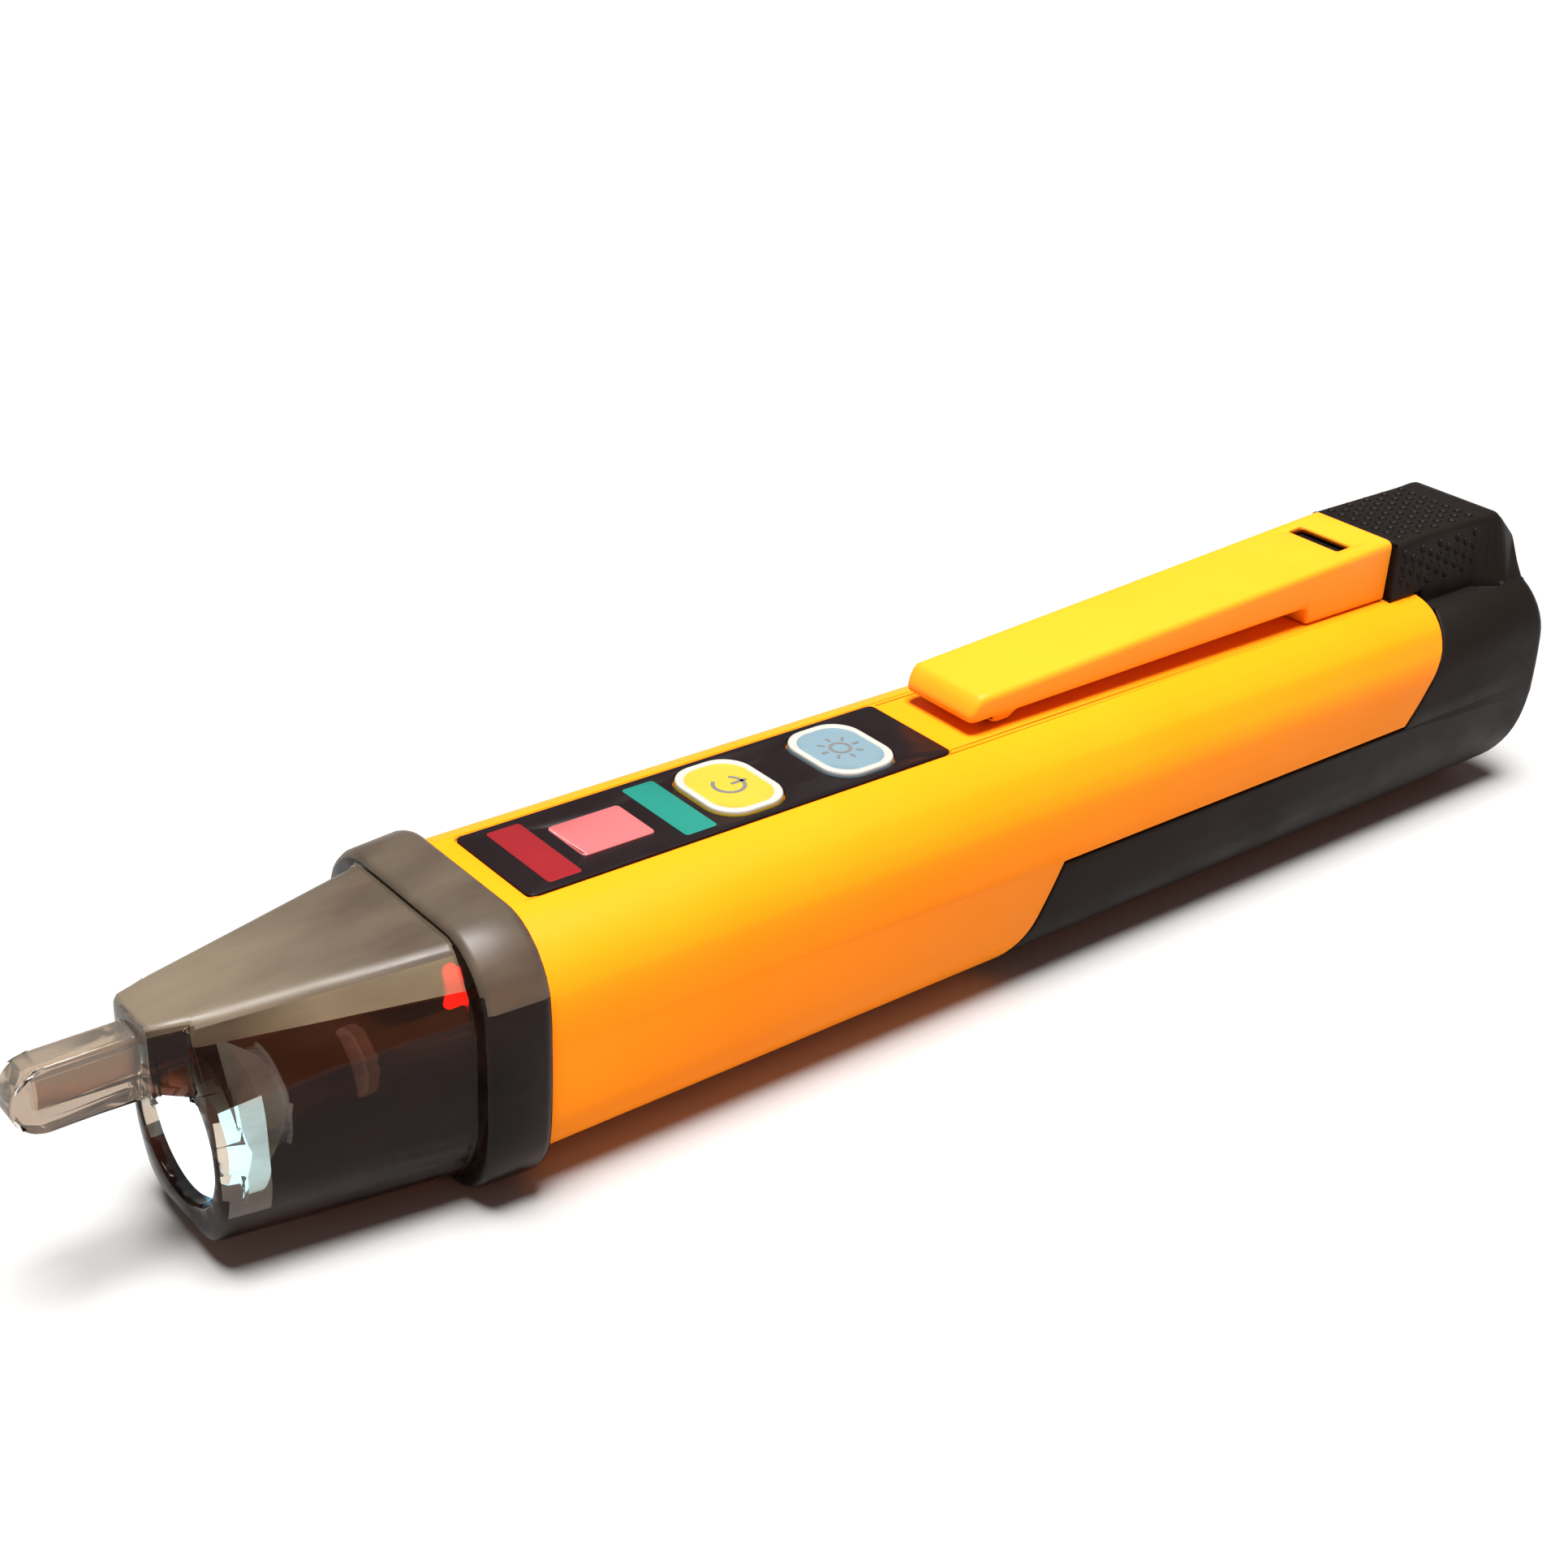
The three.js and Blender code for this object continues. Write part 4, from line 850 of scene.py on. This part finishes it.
def make_clip(looks):
    slope = (CLIP["rear_top"] - CLIP["tip_top"]) / (CLIP["rear_x"] - CLIP["tip_x"])

    def bar(x, under, shrink=0.0):
        share = (x - CLIP["tip_x"]) / (CLIP["rear_x"] - CLIP["tip_x"])
        half = CLIP["tip_half"] + share * (CLIP["rear_half"] - CLIP["tip_half"]) - shrink
        top = CLIP["tip_top"] + slope * (x - CLIP["tip_x"]) - shrink
        return x, rounded(mirrored([(half, under + shrink), (half, top)]), 0.9)

    def under_at(x):
        share = (x - CLIP["tip_x"]) / (CLIP["root_x"] - CLIP["tip_x"])
        return CLIP["tip_under"] + share * (CLIP["root_under"] - CLIP["tip_under"])

    def lip(ahead, narrow, under, drop):
        half = CLIP["tip_half"] - narrow
        return CLIP["tip_x"] + ahead, rounded(
            mirrored([(half, CLIP["tip_under"] + under), (half, CLIP["tip_top"] - drop)]), 0.9
        )

    steps = 34
    start = CLIP["tip_x"] + 1.3
    xs = [start + (CLIP["root_x"] - start) * i / steps for i in range(steps + 1)]
    clip = loft("clip", [
        lip(0.0, 0.7, 0.35, 1.9), lip(0.15, 0.4, 0.1, 1.5), lip(0.5, 0.15, 0, 0.75), lip(0.9, 0.04, 0, 0.25),
        *(bar(x, under_at(x)) for x in xs),
        *(bar(x, BARREL_TOP + 0.02) for x in (CLIP["root_x"] + 0.5, 55.0, CLIP["rear_x"])),
    ], looks["clip"])
    under = CLIP["tip_under"]
    nub = [(6.6, under + 0.5), (7.8, BARREL_TOP + 0.5), (8.6, BARREL_TOP + 0.3), (10, BARREL_TOP + 0.35),
           (12.4, under + 0.5)]
    join(clip, side_prism("nub", nub, -4.1, 4.1))
    cut(clip, block("tunnel", TUNNEL["x0"], CLIP["rear_x"] + 1, -TUNNEL["half"], TUNNEL["half"], TUNNEL["z0"],
                    TUNNEL["z1"]))
    slot_centre = (LATCH_SLOT["x"], 0)
    slot_outline = rounded_rectangle(LATCH_SLOT["size_x"] / 2, LATCH_SLOT["half"], 0.4, 4, slot_centre)
    cut(clip, stack("slot", [(TUNNEL["z1"] - 0.2, slot_outline), (33.0, slot_outline)]))
    soften(clip, 0.25, 3, 40.0)
    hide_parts("clip_root", "pocket_clip")
    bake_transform(clip)


# ---- Battery cover -------------------------------------------------------------------------------

HEEL = [(80, -1), (81, 0.9), (83.6, 3.2), (86.3, 9.5), (87.5, 13.4), (88.2, 17), (90, 17), (90, -1)]
THUMB = [
    (70.9, 6.3, 5.9, THUMB_TOP), (75.0, 6.35, 5.9, THUMB_TOP), (79.5, 6.4, 5.9, THUMB_TOP),
    (80.6, 7.1, 5.95, THUMB_TOP), (81.5, 7.8, 6.0, THUMB_TOP), (82.4, 8.4, 6.05, THUMB_TOP),
    (83.2, 8.8, 6.1, THUMB_TOP - 0.1), (84.0, 8.95, 6.05, THUMB_TOP - 0.7), (86.4, 9.2, 5.9, 28.9),
    (87.1, 9.05, 5.7, 27.6), (87.6, 8.8, 5.4, 26.0),
]
THUMB_ROOT_Z = 22.0
GRIP = {
    "pitch": 1.55, "columns": 9, "start": 1.6, "top_rows": 7, "top_half": 4.65, "side_rows": 3,
    "side_z": 30.2, "foot": 6.3, "lean": 0.4, "radius": 0.52, "height": 0.28,
}


def thumb_section(x, foot, half, top, foot_z):
    return x, rounded(mirrored([(foot, foot_z), (half, top)]), [0.2, 1.0, 1.0, 0.2])


def domes(name, spots, radius, height, *materials):
    """Small raised dots, one on each (position, outward direction) in millimetres."""
    rings = [(1.0, -0.15), (1.0, 0.0), (0.72, 0.7 * height)]
    sides = 10
    points, faces = [], []
    for position, normal in spots:
        position, normal = Vector(position), Vector(normal).normalized()
        across = normal.orthogonal().normalized()
        along = normal.cross(across)
        base = len(points)
        for share, rise in rings:
            for j in range(sides):
                angle = 2 * math.pi * j / sides
                offset = across * math.cos(angle) + along * math.sin(angle)
                points.append(tuple(position + offset * radius * share + normal * rise))
        points.append(tuple(position + normal * height))
        tip = len(points) - 1
        for i in range(len(rings) - 1):
            for j in range(sides):
                k = (j + 1) % sides
                a, b = base + i * sides, base + (i + 1) * sides
                faces.append((a + j, a + k, b + k, b + j))
        last = base + (len(rings) - 1) * sides
        faces += [(last + j, last + (j + 1) % sides, tip) for j in range(sides)]
        faces.append(tuple(base + j for j in reversed(range(sides))))
    obj = facing_out(new_object(name, points, faces, *materials))
    obj.data.shade_smooth()
    return obj


def make_grip(looks):
    """The dotted grip on the thumb block's top and upper sides."""
    grip, pitch = GRIP, GRIP["pitch"]
    spots = []
    for i in range(grip["columns"]):
        x = THUMB_X + grip["start"] + i * pitch
        shifted = (i % 2) * pitch / 2
        for j in range(grip["top_rows"] - i % 2):
            spots.append(((x, j * pitch - grip["top_half"] + shifted, THUMB_TOP), (0, 0, 1)))
        for side in (-1, 1):
            for j in range(grip["side_rows"]):
                z = grip["side_z"] - j * pitch - shifted
                half = grip["foot"] - grip["lean"] * (z - THUMB_ROOT_Z) / (THUMB_TOP - THUMB_ROOT_Z)
                spots.append(((x, side * half, z), (0, side, 0.05)))
    dots = domes("thumb_grip", spots, grip["radius"], grip["height"], looks["black"])
    place(dots, "battery_cover", "black_cover")


def make_cover(looks):
    dome = [(85.8, 0.0), (86.3, 0.1), (86.8, 0.3), (87.2, 0.55), (87.5, 0.8), (87.8, 1.25), (END_X, 1.9)]
    cover = loft("cover", [(2.0, section()), *((x, section(-inset)) for x, inset in dome)], looks["black"])
    cut(cover, side_prism("heel", HEEL, -BARREL["width"], BARREL["width"]))
    combine(cover, cover_side("cover_region", SPLIT["gap"]), "INTERSECT")
    for side in (-1, 1):
        y0, y1 = sorted((side * GROOVE["y0"], side * GROOVE["y1"]))
        cut(cover, block("groove", GROOVE["x0"], GROOVE["x1"], y0, y1, GROOVE["bottom"], BARREL_TOP + 1))
    join(cover, loft("thumb", [thumb_section(*s, THUMB_ROOT_Z) for s in THUMB]))
    foot_z = BARREL_TOP + 0.15
    foot = THUMB[0][1] + (THUMB[0][2] - THUMB[0][1]) * (foot_z - THUMB_ROOT_Z) / (THUMB_TOP - THUMB_ROOT_Z)
    join(cover, loft("overhang", [
        thumb_section(x, foot, THUMB[0][2], THUMB_TOP, foot_z) for x in (THUMB_X, THUMB[0][0] + 0.3)
    ]))
    wall = BARREL["wall"]
    cut(cover, loft("cover_hollow", [
        (1.0, section(-wall)), (79.5, section(-wall)), (82.4, section(-wall - 2)), (83.6, section(-wall - 3.5)),
    ]))
    join(cover, block("latch", TUNNEL["x0"] + 0.8, THUMB_X + 0.5, -3.6, 3.6, TUNNEL["z0"] + 0.3, 30.2))
    nub0, nub1 = LATCH_SLOT["x"] - 1.1, LATCH_SLOT["x"] + 1.7
    nub = [(nub0 - 0.4, 30.0), (nub0, 30.75), (nub1, 30.75), (nub1, 30.0)]
    join(cover, side_prism("latch_nub", nub, -3.5, 3.5))
    soften(cover, 0.25)
    place(cover, "battery_cover", "black_cover", "battery_cover")


# ---- Pieces that keep their CAD shape ------------------------------------------------------------

CAD_LOOKS = {
    "power_switch_plunger": "white", "power_switch": "chip", "torch_switch_plunger": "white",
    "torch_switch": "chip", "circuit_board": "board", "board_screw_1": "nickel", "board_screw_2": "nickel",
    "indicator_diode": "white_lamp", "detector_chip": "chip", "piezo_buzzer": "chip",
    "filter_capacitor": "cell", "sensor_antenna": "brass", "torch_reflector": "chrome",
    "torch_diode": "white_lamp",
    "battery_pad": "foam", "battery_carrier": "white", "positive_contact": "nickel",
    "negative_contact": "nickel", "bridge_contact": "nickel", "battery_left": "cell", "battery_right": "cell",
    "rear_spring": "nickel", "front_spring": "nickel", "positive_lead": "red_wire",
    "negative_lead": "black_wire",
}


def dress_cad(looks):
    for name, look in CAD_LOOKS.items():
        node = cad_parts[name]
        node.data.materials.clear()
        node.data.materials.append(looks[look])
        bevel = node.modifiers.new("edges", "BEVEL")
        bevel.width = 0.12 * MM
        bevel.segments = 2
        bevel.limit_method = "ANGLE"
        bevel.angle_limit = math.radians(50)


make_camera()
make_studio()
LOOKS = make_looks()
make_barrel(LOOKS)
make_panel(LOOKS)
make_key("power_key", POWER_X, LOOKS, "amber", "key_amber", "power_button")
make_key("torch_key", TORCH_KEY_X, LOOKS, "blue", "key_blue", "torch_button")
make_icons(LOOKS)
make_nose(LOOKS)
make_torch(LOOKS)
make_alert_lamps(LOOKS)
make_clip(LOOKS)
make_cover(LOOKS)
make_grip(LOOKS)
dress_cad(LOOKS)
